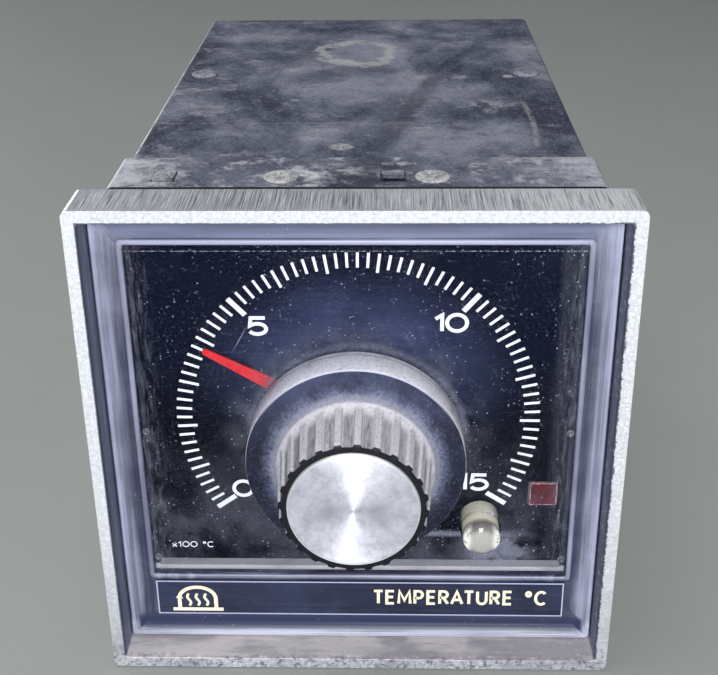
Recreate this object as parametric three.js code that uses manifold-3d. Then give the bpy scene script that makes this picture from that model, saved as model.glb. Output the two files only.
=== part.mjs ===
// Panel-mounted dial temperature controller, as used on a kiln. Millimetres, +Z up.
//
// The pieces are laid out in the instrument's own frame: X to the right, Y from the front face of
// the bezel towards the rear, Z up, with zero at the middle of the bezel's front face. The group is
// then set down so that its origin is the middle of the underside of the whole instrument.

import * as THREE from 'three';
import { mergeVertices } from 'three/addons/utils/BufferGeometryUtils.js';
import Module from 'manifold-3d';

const wasm = await Module();
wasm.setup();

// ---- Driving dimensions ----

const BEZEL = 96;             // the standard square front of a panel instrument
const BEZEL_DEPTH = 10.3;
const BEZEL_WALL = 2.3;
const HALF_BEZEL = BEZEL / 2;
const FRAME_HALF = HALF_BEZEL - BEZEL_WALL;     // half the bezel frame's square opening

const CASE_HALF_X = 44;       // outside of the sheet-metal sleeve
const CASE_HALF_Z = 44.4;
const SHEET = 1;
const CASE_END = 155;         // rear edge of the sleeve
const COLLAR_FRONT = 18.2;    // the collar clamps the panel between itself and the bezel
const COLLAR_LENGTH = 16.3;
const COLLAR_HALF_X = 45;
const COLLAR_HALF_Z = 45.3;
const COLLAR_SHEET = 0.7;

const GAP = 0.3;              // between a piece and the hole that it sits in
const SEAT = 0.05;            // between two faces that rest on each other

const WINDOW_HALF_X = 40;     // the opening that shows the dial
const WINDOW_LOW = -31.05;
const WINDOW_HIGH = 38.8;
const LEDGE = 1;              // how far the moulding's lip covers the window's edge
const LIP_FRONT = 7;
const LIP_BACK = 7.8;
const LAND_DEPTH = 7.5;       // flat of the moulding, around the lip
const RIM_DEPTH = 6;          // outer rim of the moulding
const MOULDING_BACK = 12.8;

const WINDOW_FRONT = 8.1;
const WINDOW_SHEET = 1;
const DIAL_FACE = 12;
const DIAL_SHEET = 0.8;
const DIAL_Z = 1.5;           // height of the dial's centre
const PLATE_FRONT = 13.1;     // steel front plate of the chassis
const PLATE_SHEET = 1;

const POINTER_REST = -60.8;   // where the pointer stands, clockwise from straight up

const LAMP_X = 23.4;
const LAMP_Z = -20.8;
const LENS_RADIUS = 3.55;
const LAMP_HOLE = 3.9;

const SHAFT_RADIUS = 3;
const SHAFT_BORE = 3.2;
const FINE = 48;              // segments of the round pieces that are seen close
const COARSE = 24;
const SMALL = 16;

// ---- Solids: closed meshes, joined and cut ----

function toSolid(geometry) {
  const bare = geometry.clone();
  for (const name of ['normal', 'uv']) bare.deleteAttribute(name);
  const merged = mergeVertices(bare);
  const corners = merged.index.array;
  const faces = [];
  for (let i = 0; i < corners.length; i += 3) {
    const [a, b, c] = corners.slice(i, i + 3);
    if (a !== b && b !== c && c !== a) faces.push(a, b, c);
  }
  const vertProperties = new Float32Array(merged.attributes.position.array);
  const build = (triVerts) => new wasm.Manifold(new wasm.Mesh({
    numProp: 3, vertProperties, triVerts: new Uint32Array(triVerts),
  }));
  const solid = build(faces);
  return solid.volume() < 0 ? build(faces.reverse()) : solid;
}

function toGeometry(solid) {
  const mesh = solid.getMesh();
  const geometry = new THREE.BufferGeometry();
  geometry.setAttribute('position', new THREE.BufferAttribute(mesh.vertProperties, 3));
  geometry.setIndex(new THREE.BufferAttribute(mesh.triVerts, 1));
  geometry.computeVertexNormals();
  return geometry;
}

function join(...geometries) {
  return toGeometry(geometries.map(toSolid).reduce((whole, next) => whole.add(next)));
}

function carve(base, ...cutters) {
  const rest = cutters.map(toSolid).reduce((left, cutter) => left.subtract(cutter), toSolid(base));
  return toGeometry(rest);
}

// ---- Basic shapes ----

function block(x0, x1, y0, y1, z0, z1) {
  const box = new THREE.BoxGeometry(x1 - x0, y1 - y0, z1 - z0);
  return box.translate((x0 + x1) / 2, (y0 + y1) / 2, (z0 + z1) / 2);
}

// A rectangle across X and Z, as an outline with round corners.
function rectangle(halfX, low, high, radius = 0) {
  const shape = new THREE.Shape();
  if (radius === 0) {
    shape.moveTo(-halfX, low).lineTo(halfX, low).lineTo(halfX, high).lineTo(-halfX, high);
    return shape;
  }
  shape.absarc(halfX - radius, low + radius, radius, -Math.PI / 2, 0);
  shape.absarc(halfX - radius, high - radius, radius, 0, Math.PI / 2);
  shape.absarc(-halfX + radius, high - radius, radius, Math.PI / 2, Math.PI);
  shape.absarc(-halfX + radius, low + radius, radius, Math.PI, 1.5 * Math.PI);
  return shape;
}

// An outline across X and Z, drawn out along Y.
function alongY(shape, y0, y1, curveSegments = 3) {
  const options = { depth: y1 - y0, bevelEnabled: false, curveSegments };
  return new THREE.ExtrudeGeometry(shape, options).rotateX(Math.PI / 2).translate(0, y1, 0);
}

// An outline of [y, z] points, drawn out along X.
function alongX(points, x0, x1) {
  const shape = new THREE.Shape(points.map(([y, z]) => new THREE.Vector2(y, z)));
  const bar = new THREE.ExtrudeGeometry(shape, { depth: x1 - x0, bevelEnabled: false });
  const axis = (x, y, z) => new THREE.Vector3(x, y, z);
  const basis = new THREE.Matrix4().makeBasis(axis(0, 1, 0), axis(0, 0, 1), axis(1, 0, 0));
  return bar.applyMatrix4(basis).translate(x0, 0, 0);
}

// A closed profile of [radius, y] points, turned about an axis along Y through (x, z).
function turned(profile, segments = COARSE, x = 0, z = 0) {
  const points = profile.map(([radius, y]) => new THREE.Vector2(radius, y));
  return new THREE.LatheGeometry([...points, points[0]], segments).translate(x, 0, z);
}

function rod(radius, y0, y1, segments = COARSE, x = 0, z = 0) {
  const bar = new THREE.CylinderGeometry(radius, radius, y1 - y0, segments);
  return bar.translate(x, (y0 + y1) / 2, z);
}

function ring(inner, outer, y0, y1, segments = COARSE, x = 0, z = 0) {
  return turned([[inner, y0], [outer, y0], [outer, y1], [inner, y1]], segments, x, z);
}

// A rod along X or along Z, through the point given by the two other coordinates.
function rodX(radius, x0, x1, y, z, segments = SMALL) {
  const bar = new THREE.CylinderGeometry(radius, radius, x1 - x0, segments).rotateZ(-Math.PI / 2);
  return bar.translate((x0 + x1) / 2, y, z);
}

function rodZ(radius, z0, z1, x, y, segments = SMALL) {
  const bar = new THREE.CylinderGeometry(radius, radius, z1 - z0, segments).rotateX(Math.PI / 2);
  return bar.translate(x, y, (z0 + z1) / 2);
}

// A square pyramid without its tip, from one half-width to another along Y.
function squareTaper(half0, y0, half1, y1) {
  const [reach0, reach1] = [half0, half1].map((half) => half * Math.SQRT2);
  const solid = new THREE.CylinderGeometry(reach1, reach0, y1 - y0, 4, 1, false, Math.PI / 4);
  return solid.translate(0, (y0 + y1) / 2, 0);
}

// ---- The instrument and its finishes ----

const controller = new THREE.Group();

const finishes = {
  silver: { color: 0xb9bcc0, roughness: 0.45, metalness: 0.9 },
  caseMetal: { color: 0x454a55, roughness: 0.6, metalness: 0.5 },
  steel: { color: 0x9a9da2, roughness: 0.4, metalness: 0.9 },
  brass: { color: 0xb08d4a, roughness: 0.35, metalness: 0.9 },
  copper: { color: 0xa85a32, roughness: 0.45, metalness: 0.6 },
  laminations: { color: 0x3a3c40, roughness: 0.6, metalness: 0.6 },
  blackPlastic: { color: 0x15171f, roughness: 0.3, metalness: 0 },
  darkPlastic: { color: 0x1d2130, roughness: 0.5, metalness: 0 },
  greyPlastic: { color: 0x8d8f94, roughness: 0.6, metalness: 0 },
  dial: { color: 0x0c1020, roughness: 0.35, metalness: 0 },
  label: { color: 0x1a2140, roughness: 0.35, metalness: 0 },
  clear: { color: 0xdfe5ea, roughness: 0.1, metalness: 0, transparent: true, opacity: 0.25 },
  amberClear: { color: 0xcfc79a, roughness: 0.15, metalness: 0, transparent: true, opacity: 0.7 },
  red: { color: 0xd2202c, roughness: 0.4, metalness: 0 },
  darkRed: { color: 0x6d0f18, roughness: 0.3, metalness: 0 },
  board: { color: 0x2f5a3a, roughness: 0.5, metalness: 0 },
  paperBoard: { color: 0x7a5b34, roughness: 0.8, metalness: 0 },
  capacitorSleeve: { color: 0x2c3d6e, roughness: 0.4, metalness: 0 },
};

function add(name, geometry, finish) {
  const mesh = new THREE.Mesh(geometry, new THREE.MeshStandardMaterial(finishes[finish]));
  mesh.name = name;
  controller.add(mesh);
}

const sides = [['left', -1], ['right', 1]];
const levels = [['top', 1], ['bottom', -1]];

// ---- Bezel: frame, moulding, window and dial ----

const RIM = 0.4;              // width of the moulding's outer rim, and of the cove with it
const COVE = 3.8;
const LIP = 1.2;              // width of the lip round the window
const LABEL_LOW = -40.8;
const LABEL_HIGH = -32.6;
const LABEL_SHEET = 0.5;
const OVERLAP = 0.5;          // how far two solids run into each other before they are joined
const POCKET_HALF_X = WINDOW_HALF_X + LEDGE;
const POCKET_LOW = WINDOW_LOW - LEDGE + 0.1;
const POCKET_HIGH = WINDOW_HIGH + LEDGE - 0.1;
const SPIGOT_HALF_X = CASE_HALF_X - SHEET - GAP;
const SPIGOT_HALF_Z = CASE_HALF_Z - SHEET - GAP;

// Window, spacer and dial plate share the outline of the moulding's pocket.
const stackOutline = () => rectangle(POCKET_HALF_X - GAP, POCKET_LOW + GAP, POCKET_HIGH - GAP);

function bezelFrame() {
  const outside = alongY(rectangle(HALF_BEZEL, -HALF_BEZEL, HALF_BEZEL, 1.2), 0, BEZEL_DEPTH);
  const opening = alongY(rectangle(FRAME_HALF, -FRAME_HALF, FRAME_HALF, 0.8), -1, BEZEL_DEPTH + 1);
  return carve(outside, opening);
}

function bezelMoulding() {
  const half = FRAME_HALF - GAP;
  const surround = alongY(rectangle(half, -half, half, 0.6), RIM_DEPTH, BEZEL_DEPTH - GAP);
  const spigot = alongY(rectangle(SPIGOT_HALF_X, -SPIGOT_HALF_Z, SPIGOT_HALF_Z),
    BEZEL_DEPTH - GAP - OVERLAP, MOULDING_BACK);
  const cove = squareTaper(half - RIM, RIM_DEPTH - 0.1, half - COVE, LAND_DEPTH);
  const lip = alongY(rectangle(WINDOW_HALF_X + LIP, WINDOW_LOW - LIP, WINDOW_HIGH + LIP),
    LIP_FRONT, LAND_DEPTH + OVERLAP);
  const opening = alongY(rectangle(WINDOW_HALF_X, WINDOW_LOW, WINDOW_HIGH), 0, LIP_BACK + 1);
  const pocket = alongY(rectangle(POCKET_HALF_X, POCKET_LOW, POCKET_HIGH), LIP_BACK, MOULDING_BACK + 1);
  const underLabel = block(-38, 38, LAND_DEPTH + 1.5, MOULDING_BACK + 1, LABEL_LOW, POCKET_LOW - 2);
  return carve(join(carve(join(surround, spigot), cove), lip), opening, pocket, underLabel);
}

function windowSheet() {
  return carve(alongY(stackOutline(), WINDOW_FRONT, WINDOW_FRONT + WINDOW_SHEET),
    rod(SHAFT_RADIUS + 1.2, 0, DIAL_FACE, COARSE, 0, DIAL_Z),
    rod(LAMP_HOLE, 0, DIAL_FACE, COARSE, LAMP_X, LAMP_Z));
}

// The spacer holds the dial plate away from the window and makes the recess that the pointer turns in.
function dialSpacer() {
  const front = WINDOW_FRONT + WINDOW_SHEET + GAP;
  const recess = rectangle(WINDOW_HALF_X - 0.7, WINDOW_LOW + 0.4, WINDOW_HIGH - 0.6);
  return carve(alongY(stackOutline(), front, DIAL_FACE - GAP), alongY(recess, front - 1, DIAL_FACE + 1));
}

const INDICATOR = { x: 35.5, z: -15.2, halfX: 2.6, halfZ: 2.5 };
const NUT_CLEARANCE = 7.6;    // radius of the dial's hole, round the potentiometer's nut

function dialPlate() {
  const { x, z, halfX, halfZ } = INDICATOR;
  const [reachX, reachZ] = [halfX + GAP, halfZ + GAP];
  const behind = DIAL_FACE + 5;
  return carve(alongY(stackOutline(), DIAL_FACE, DIAL_FACE + DIAL_SHEET),
    rod(NUT_CLEARANCE, 0, behind, COARSE, 0, DIAL_Z),
    rod(LAMP_HOLE, 0, behind, COARSE, LAMP_X, LAMP_Z),
    block(x - reachX, x + reachX, 0, behind, z - reachZ, z + reachZ));
}

function indicatorWindow() {
  const { x, z, halfX, halfZ } = INDICATOR;
  return block(x - halfX, x + halfX, DIAL_FACE - 0.15, DIAL_FACE + DIAL_SHEET, z - halfZ, z + halfZ);
}

add('bezel_frame', bezelFrame(), 'silver');
add('bezel_moulding', bezelMoulding(), 'blackPlastic');
add('window', windowSheet(), 'clear');
add('dial_spacer', dialSpacer(), 'greyPlastic');
add('dial_plate', dialPlate(), 'dial');
add('indicator_window', indicatorWindow(), 'darkRed');
add('nameplate', block(-WINDOW_HALF_X, WINDOW_HALF_X, LAND_DEPTH - LABEL_SHEET, LAND_DEPTH - SEAT,
  LABEL_LOW, LABEL_HIGH), 'label');

// ---- Lamp: a clear domed lens that stands through the window, and its holder behind ----

const DOME_START = 5.4;
const DOME_TIP = 3.8;
const LENS_BACK = PLATE_FRONT + PLATE_SHEET + 0.5;
const LAMP_HOLDER = { radius: 4.3, end: 28 };

function lampLens() {
  const dome = [];
  const steps = 4;
  for (let i = 0; i <= steps; i += 1) {
    const turn = (i / steps) * Math.PI / 2;
    dome.push([LENS_RADIUS * Math.sin(turn), DOME_START - (DOME_START - DOME_TIP) * Math.cos(turn)]);
  }
  return turned([...dome, [LENS_RADIUS, LENS_BACK], [0, LENS_BACK]], COARSE, LAMP_X, LAMP_Z);
}

add('lamp_lens', lampLens(), 'amberClear');
add('lamp_holder', rod(LAMP_HOLDER.radius, LENS_BACK + GAP, LAMP_HOLDER.end, SMALL, LAMP_X, LAMP_Z),
  'blackPlastic');

// ---- Setpoint knob: skirt, fluted grip, spun cap, grub screw ----

const SKIRT_RADIUS = 19.4;
const SKIRT_BACK = 2.5;
const SKIRT_FRONT = -4;
const GRIP_START = -4.8;
const GRIP_END = -16.9;
const GRIP_BASE_RADIUS = 13.4;
const GRIP_END_RADIUS = 12.6;
const FLUTES = 24;
const FLUTE_DEPTH = 0.55;
const CAP_RADIUS = 11.3;
const CAP_SEAT = -16;
const CAP_FRONT = -17.35;
const SHAFT_FRONT = -13.2;
const GRUB_SCREW = { radius: 1.3, hole: 1.6, y: -10 };
const BOSS_RADIUS = 5.5;
const BOSS_BACK = 7.6;

// One rib and one groove take four points, so the outline of the grip is a castellated circle.
function grip() {
  const rib = (2 * Math.PI) / FLUTES;
  const edges = [[0, 1], [0.3, 1], [0.42, 0], [0.88, 0]];
  const outline = [];
  for (let i = 0; i < FLUTES; i += 1) {
    for (const [part, raised] of edges) {
      const radius = GRIP_BASE_RADIUS - FLUTE_DEPTH * (1 - raised);
      const turn = rib * (i + part);
      outline.push(new THREE.Vector2(radius * Math.sin(turn), radius * Math.cos(turn)));
    }
  }
  const solid = alongY(new THREE.Shape(outline), GRIP_END, GRIP_START + 0.5);
  const place = solid.attributes.position;
  const narrow = GRIP_END_RADIUS / GRIP_BASE_RADIUS;
  for (let i = 0; i < place.count; i += 1) {
    if (place.getY(i) < (GRIP_END + GRIP_START) / 2) {
      place.setX(i, place.getX(i) * narrow);
      place.setZ(i, place.getZ(i) * narrow);
    }
  }
  return solid.translate(0, 0, DIAL_Z);
}

function knob() {
  const root = GRIP_BASE_RADIUS;
  const skirt = turned([
    [0, GRIP_START - 3], [root - 1, GRIP_START - 3], [root - 0.4, GRIP_START - 0.3],
    [root + 0.5, GRIP_START + 0.1], [SKIRT_RADIUS - 0.4, SKIRT_FRONT], [SKIRT_RADIUS, SKIRT_FRONT + 0.4],
    [SKIRT_RADIUS, SKIRT_BACK], [BOSS_RADIUS, SKIRT_BACK], [BOSS_RADIUS, BOSS_BACK], [0, BOSS_BACK],
  ], FINE, 0, DIAL_Z);
  const bore = rod(SHAFT_BORE, SHAFT_FRONT - GAP, BOSS_BACK + 1, COARSE, 0, DIAL_Z);
  const capRecess = rod(CAP_RADIUS + GAP, GRIP_END - 1, CAP_SEAT, FINE, 0, DIAL_Z);
  const screwHole = rodZ(GRUB_SCREW.hole, DIAL_Z - root - 1, DIAL_Z - 1, 0, GRUB_SCREW.y);
  return carve(join(skirt, grip()), bore, capRecess, screwHole);
}

function knobCap() {
  const back = CAP_SEAT - SEAT;
  const edge = CAP_FRONT + 0.45;
  return turned([
    [0, CAP_FRONT], [CAP_RADIUS - 0.6, CAP_FRONT + 0.05], [CAP_RADIUS, edge], [CAP_RADIUS, back], [0, back],
  ], FINE, 0, DIAL_Z);
}

add('knob', knob(), 'darkPlastic');
add('knob_cap', knobCap(), 'silver');
add('knob_set_screw',
  rodZ(GRUB_SCREW.radius, DIAL_Z - 12, DIAL_Z - SHAFT_RADIUS - GAP, 0, GRUB_SCREW.y), 'steel');

// ---- Shaft, pointer and potentiometer ----

const POINTER_FRONT = 9.5;
const POINTER_SHEET = 0.5;
const POINTER_REACH = 32;
const POINTER_TIP = 0.6;      // half-width at the tip, and where the blade leaves the hub
const POINTER_ROOT = 1.9;
const POINTER_HUB = 5.4;

function pointer() {
  const hub = ring(SHAFT_BORE, POINTER_HUB, POINTER_FRONT, POINTER_FRONT + POINTER_SHEET, COARSE);
  const arm = new THREE.Shape();
  const start = POINTER_HUB - 0.8;
  arm.moveTo(-POINTER_ROOT, start).lineTo(-POINTER_TIP, POINTER_REACH - POINTER_TIP);
  arm.absarc(0, POINTER_REACH - POINTER_TIP, POINTER_TIP, Math.PI, 0, true);
  arm.lineTo(POINTER_ROOT, start);
  const blade = alongY(arm, POINTER_FRONT, POINTER_FRONT + POINTER_SHEET, 4);
  const flat = join(hub, blade);
  return flat.rotateY(THREE.MathUtils.degToRad(POINTER_REST)).translate(0, 0, DIAL_Z);
}

const POT_FRONT = 15.6;
const POT_RADIUS = 12;
const POT_BACK = 24;
const POT_SHEET = 0.8;
const TRACK = { inner: 7.4, outer: 10.6, front: 22.6 };
const BUSHING = { front: 10.4, radius: 4.75, flange: 8, back: 15.3 };
const NUT = { corner: 6.9, front: 10.9 };
const plateBack = PLATE_FRONT + PLATE_SHEET;

function nutOutline() {
  const corners = Array.from({ length: 6 }, (_, i) => {
    const turn = (i * Math.PI) / 3;
    return new THREE.Vector2(NUT.corner * Math.cos(turn), NUT.corner * Math.sin(turn));
  });
  return new THREE.Shape(corners);
}

function bushing() {
  const { front, radius, flange, back } = BUSHING;
  const seat = plateBack + SEAT;
  return turned([
    [SHAFT_BORE, front], [radius, front], [radius, seat], [flange, seat], [flange, back], [SHAFT_BORE, back],
  ], COARSE, 0, DIAL_Z);
}

function nut() {
  const hole = rod(BUSHING.radius + GAP, NUT.front - 1, PLATE_FRONT + 1);
  return carve(alongY(nutOutline(), NUT.front, PLATE_FRONT - SEAT), hole).translate(0, 0, DIAL_Z);
}

function potCan() {
  const inner = POT_RADIUS - POT_SHEET;
  const hole = SHAFT_BORE + GAP;
  return turned([
    [hole, POT_FRONT], [POT_RADIUS, POT_FRONT], [POT_RADIUS, POT_BACK], [inner, POT_BACK],
    [inner, POT_FRONT + POT_SHEET], [hole, POT_FRONT + POT_SHEET],
  ], COARSE, 0, DIAL_Z);
}

// The wafer closes the potentiometer's can and carries its three solder lugs.
function wafer() {
  const disc = rod(POT_RADIUS, POT_BACK + GAP, POT_BACK + 1.8, COARSE, 0, DIAL_Z);
  const lug = (x) => block(x - 1, x + 1, POT_BACK + 0.6, POT_BACK + 1.2, DIAL_Z - 17, DIAL_Z - 9);
  return join(disc, ...[-5, 0, 5].map(lug));
}

function wiper() {
  const hub = ring(SHAFT_BORE, 5, 19.6, 21.6, COARSE);
  const arm = block(-1, 1, 20.6, 21.4, 4, 9.5);
  return join(hub, arm).rotateY(THREE.MathUtils.degToRad(POINTER_REST)).translate(0, 0, DIAL_Z);
}

add('setpoint_shaft', rod(SHAFT_RADIUS, SHAFT_FRONT, 22, COARSE, 0, DIAL_Z), 'brass');
add('pointer', pointer(), 'red');
add('pot_bushing', bushing(), 'brass');
add('pot_nut', nut(), 'steel');
add('pot_housing', potCan(), 'steel');
add('pot_track', ring(TRACK.inner, TRACK.outer, TRACK.front, POT_BACK, COARSE, 0, DIAL_Z), 'laminations');
add('pot_wafer', wafer(), 'paperBoard');
add('pot_wiper', wiper(), 'brass');

// ---- Case: sleeve, mounting collar, chassis rails and screws ----

const CASE_SCREW = { x: 38, y: 96.9, headRadius: 3.1, shankRadius: 1.2 };
const COLLAR_SCREW = { x: 13.7, y: 23.2, headRadius: 3.2, shankRadius: 1.1 };

function onFourCorners({ x, y, shankRadius }, depth) {
  const holes = [];
  for (const [, side] of sides) {
    for (const [, level] of levels) {
      holes.push(rodZ(shankRadius + GAP, level > 0 ? 30 : -depth, level > 0 ? depth : -30, side * x, y));
    }
  }
  return holes;
}

function caseSleeve() {
  const outline = rectangle(CASE_HALF_X, -CASE_HALF_Z, CASE_HALF_Z, 1.4);
  const outside = alongY(outline, BEZEL_DEPTH + GAP, CASE_END);
  const halfZ = CASE_HALF_Z - SHEET;
  const inside = alongY(rectangle(CASE_HALF_X - SHEET, -halfZ, halfZ, 0.4), 0, CASE_END + 10);
  return carve(outside, inside, ...onFourCorners(CASE_SCREW, 50));
}

// Two tongues on the top and two underneath are cut on three sides and bent out of the sheet.
const TONGUES = [{ x0: -37.3, x1: -32.9, lift: 0.5 }, { x0: 4.2, x1: 8.9, lift: 1 }];
const TONGUE_FRONT = 21.6;
const TONGUE_BACK = 27.5;

function tongue({ x0, x1, lift }, level) {
  const under = COLLAR_HALF_Z - COLLAR_SHEET;
  const outline = [
    [TONGUE_FRONT + GAP, under + lift], [TONGUE_BACK + 0.5, under], [TONGUE_BACK + 0.5, COLLAR_HALF_Z],
    [TONGUE_FRONT + GAP, COLLAR_HALF_Z + lift],
  ];
  return alongX(outline.map(([y, z]) => [y, z * level]), x0 + GAP, x1 - GAP);
}

function mountingCollar() {
  const outside = alongY(rectangle(COLLAR_HALF_X, -COLLAR_HALF_Z, COLLAR_HALF_Z, 1.5),
    COLLAR_FRONT, COLLAR_FRONT + COLLAR_LENGTH);
  const halfZ = COLLAR_HALF_Z - COLLAR_SHEET;
  const inside = alongY(rectangle(COLLAR_HALF_X - COLLAR_SHEET, -halfZ, halfZ, 0.8), 0, 60);
  const slots = TONGUES.map(({ x0, x1 }) => block(x0, x1, TONGUE_FRONT, TONGUE_BACK, -50, 50));
  const band = carve(outside, inside, ...slots, ...onFourCorners(COLLAR_SCREW, 50));
  const tongues = levels.flatMap(([, level]) => TONGUES.map((one) => tongue(one, level)));
  return join(band, ...tongues);
}

// A flat-headed screw in the top or the underside, with its head just outside the sheet.
function sheetScrew({ x, y, headRadius, shankRadius }, side, level, seat, tip, headHeight) {
  const between = (a, b) => [Math.min(a * level, b * level), Math.max(a * level, b * level)];
  const head = rodZ(headRadius, ...between(seat + SEAT, seat + headHeight), side * x, y, COARSE);
  const shank = rodZ(shankRadius, ...between(tip, seat + headHeight / 2), side * x, y, 12);
  return join(head, shank);
}

add('case_sleeve', caseSleeve(), 'caseMetal');
add('mounting_collar', mountingCollar(), 'caseMetal');
for (const [sideName, side] of sides) {
  for (const [levelName, level] of levels) {
    const place = `${levelName}_${sideName}`;
    const collarTip = COLLAR_HALF_Z - COLLAR_SHEET + SEAT;
    add(`collar_screw_${place}`,
      sheetScrew(COLLAR_SCREW, side, level, COLLAR_HALF_Z, collarTip, 0.5), 'steel');
    add(`case_screw_${place}`,
      sheetScrew(CASE_SCREW, side, level, CASE_HALF_Z, CASE_HALF_Z - 3.4, 0.9), 'steel');
  }
}

// ---- Chassis: front plate, two rails, two boards on spacers ----

const RAIL_END = 150;
const BOARD_NEAR = 36.2;      // the face of each board that looks at its rail
const BOARD_SHEET = 1.6;
const BOARD_START = 30;
const BOARD_END = 149.4;
const BOARD_HALF_Z = 38;
const SPACERS = [['front', 34, 33], ['rear', 140, -33]];

function chassisFront() {
  return carve(alongY(rectangle(SPIGOT_HALF_X, -SPIGOT_HALF_Z, SPIGOT_HALF_Z), PLATE_FRONT, plateBack),
    rod(BUSHING.radius + GAP, 0, 20, COARSE, 0, DIAL_Z),
    rod(LAMP_HOLE, 0, 20, COARSE, LAMP_X, LAMP_Z),
    rod(2, 0, 20, SMALL, INDICATOR.x, INDICATOR.z));
}

function chassisRail(side) {
  const web = side * SPIGOT_HALF_X;
  const inner = side * (SPIGOT_HALF_X - SHEET);
  const lip = side * (SPIGOT_HALF_X - 9);
  const high = SPIGOT_HALF_Z;
  const under = SPIGOT_HALF_Z - SHEET;
  const shape = new THREE.Shape([
    [lip, -high], [web, -high], [web, high], [lip, high],
    [lip, under], [inner, under], [inner, -under], [lip, -under],
  ].map(([x, z]) => new THREE.Vector2(x, z)));
  return carve(alongY(shape, plateBack + GAP, RAIL_END), ...onFourCorners(CASE_SCREW, 50));
}

// Boards, spacers and what stands on the boards are described for the right side, where "out" is
// towards the rail, and mirrored for the left.
function across(side, near, far) {
  return side > 0 ? [near, far] : [-far, -near];
}

function board(side) {
  const [x0, x1] = across(side, BOARD_NEAR - BOARD_SHEET, BOARD_NEAR);
  return block(x0, x1, BOARD_START, BOARD_END, -BOARD_HALF_Z, BOARD_HALF_Z);
}

add('chassis_front', chassisFront(), 'steel');
for (const [sideName, side] of sides) {
  add(`chassis_rail_${sideName}`, chassisRail(side), 'steel');
  for (const [placeName, y, z] of SPACERS) {
    const [x0, x1] = across(side, BOARD_NEAR + SEAT, SPIGOT_HALF_X - SHEET - SEAT);
    add(`board_spacer_${placeName}_${sideName}`, rodX(2.5, x0, x1, y, z, 12), 'brass');
  }
}
add('control_board', board(-1), 'board');
add('power_board', board(1), 'board');

// ---- On the control board: two capacitors and the calibration trimmer ----

const boardFace = BOARD_NEAR - BOARD_SHEET - SEAT;
const CAPACITOR = { radius: 7.5, length: 22 };
const TRIMMER = { y: 39, z: -27, half: 5, height: 7, rotor: 2.6 };

function capacitor(y, z) {
  const { radius, length } = CAPACITOR;
  const [x0, x1] = across(-1, boardFace - length, boardFace);
  return rodX(radius, x0, x1, y, z, COARSE);
}

function trimmer() {
  const { y, z, half, height, rotor } = TRIMMER;
  const [x0, x1] = across(-1, boardFace - height, boardFace);
  const [s0, s1] = across(-1, boardFace - height - 1.2, boardFace - height + 1);
  return join(block(x0, x1, y - half, y + half, z - half, z + half), rodX(rotor, s0, s1, y, z, 12));
}

add('filter_capacitor_upper', capacitor(70, 20), 'capacitorSleeve');
add('filter_capacitor_lower', capacitor(70, -4), 'capacitorSleeve');
add('calibration_trimmer', trimmer(), 'capacitorSleeve');

// ---- On the power board: the transformer and the heater relay ----

// An EI core: a middle leg with a slot on each side, closed by yokes above and below.
const CORE = { y: 112, z: -16, halfY: 21, halfZ: 18, x0: 12, x1: 28, legHalf: 6, slot: 8.5, yoke: 6 };
const WINDING = 6;            // how far the winding stands out of the core

function transformerCore() {
  const { y, z, halfY, halfZ, x0, x1, legHalf, slot, yoke } = CORE;
  const slots = [-1, 1].map((way) => {
    const [y0, y1] = [y + way * legHalf, y + way * (legHalf + slot)].sort((a, b) => a - b);
    return block(x0 - 1, x1 + 1, y0, y1, z - halfZ + yoke, z + halfZ - yoke);
  });
  return carve(block(x0, x1, y - halfY, y + halfY, z - halfZ, z + halfZ), ...slots);
}

function transformerBobbin() {
  const { y, z, halfZ, x0, x1, legHalf, slot, yoke } = CORE;
  const half = halfZ - yoke - GAP;
  const reach = legHalf + slot - GAP;
  const leg = legHalf + GAP;
  const outside = block(x0 - WINDING, x1 + WINDING, y - reach, y + reach, z - half, z + half);
  return carve(outside, block(x0 - GAP, x1 + GAP, y - leg, y + leg, z - halfZ, z + halfZ));
}

add('transformer_core', transformerCore(), 'laminations');
add('transformer_bobbin', transformerBobbin(), 'copper');

const RELAY = { y0: 38, y1: 66, z0: 2, z1: 34, x0: 6, wall: 1.2 };
const RELAY_BASE = 3.2;
const COIL = { radius: 7.5, y: 52, z: 15, x0: 12.6 };
const YOKE = { low: 5, sheet: 2, halfY: 8 };
const HINGE_Z = 29;           // the armature rocks on the yoke's upper edge, at this height
const ARMATURE = { x0: 9.7, x1: 10.9, low: 7, halfY: 7 };

function relayCover() {
  const { y0, y1, z0, z1, x0, wall } = RELAY;
  const rim = boardFace - RELAY_BASE - SEAT;
  const inside = block(x0 + wall, rim + 1, y0 + wall, y1 - wall, z0 + wall, z1 - wall);
  return carve(block(x0, rim, y0, y1, z0, z1), inside);
}

// The yoke is an L: a foot on the base under the coil, and a limb beside it up to the armature.
function relayYoke() {
  const { low, sheet, halfY } = YOKE;
  const foot = boardFace - RELAY_BASE - SEAT;
  const edge = ARMATURE.x1 + GAP;
  const [under, over] = [HINGE_Z - 0.4, HINGE_Z - 0.4 + sheet];
  const outline = [[foot, low], [foot, over], [edge, over], [edge, under], [foot - sheet, under],
    [foot - sheet, low]];
  const shape = new THREE.Shape(outline.map(([x, z]) => new THREE.Vector2(x, z)));
  return alongY(shape, COIL.y - halfY, COIL.y + halfY);
}

function relayCoil() {
  const end = boardFace - RELAY_BASE - YOKE.sheet - SEAT * 2;
  return rodX(COIL.radius, COIL.x0, end, COIL.y, COIL.z, COARSE);
}

function relayArmature() {
  const { x0, x1, low, halfY } = ARMATURE;
  return block(x0, x1, COIL.y - halfY, COIL.y + halfY, low, HINGE_Z + 1.4);
}

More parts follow.
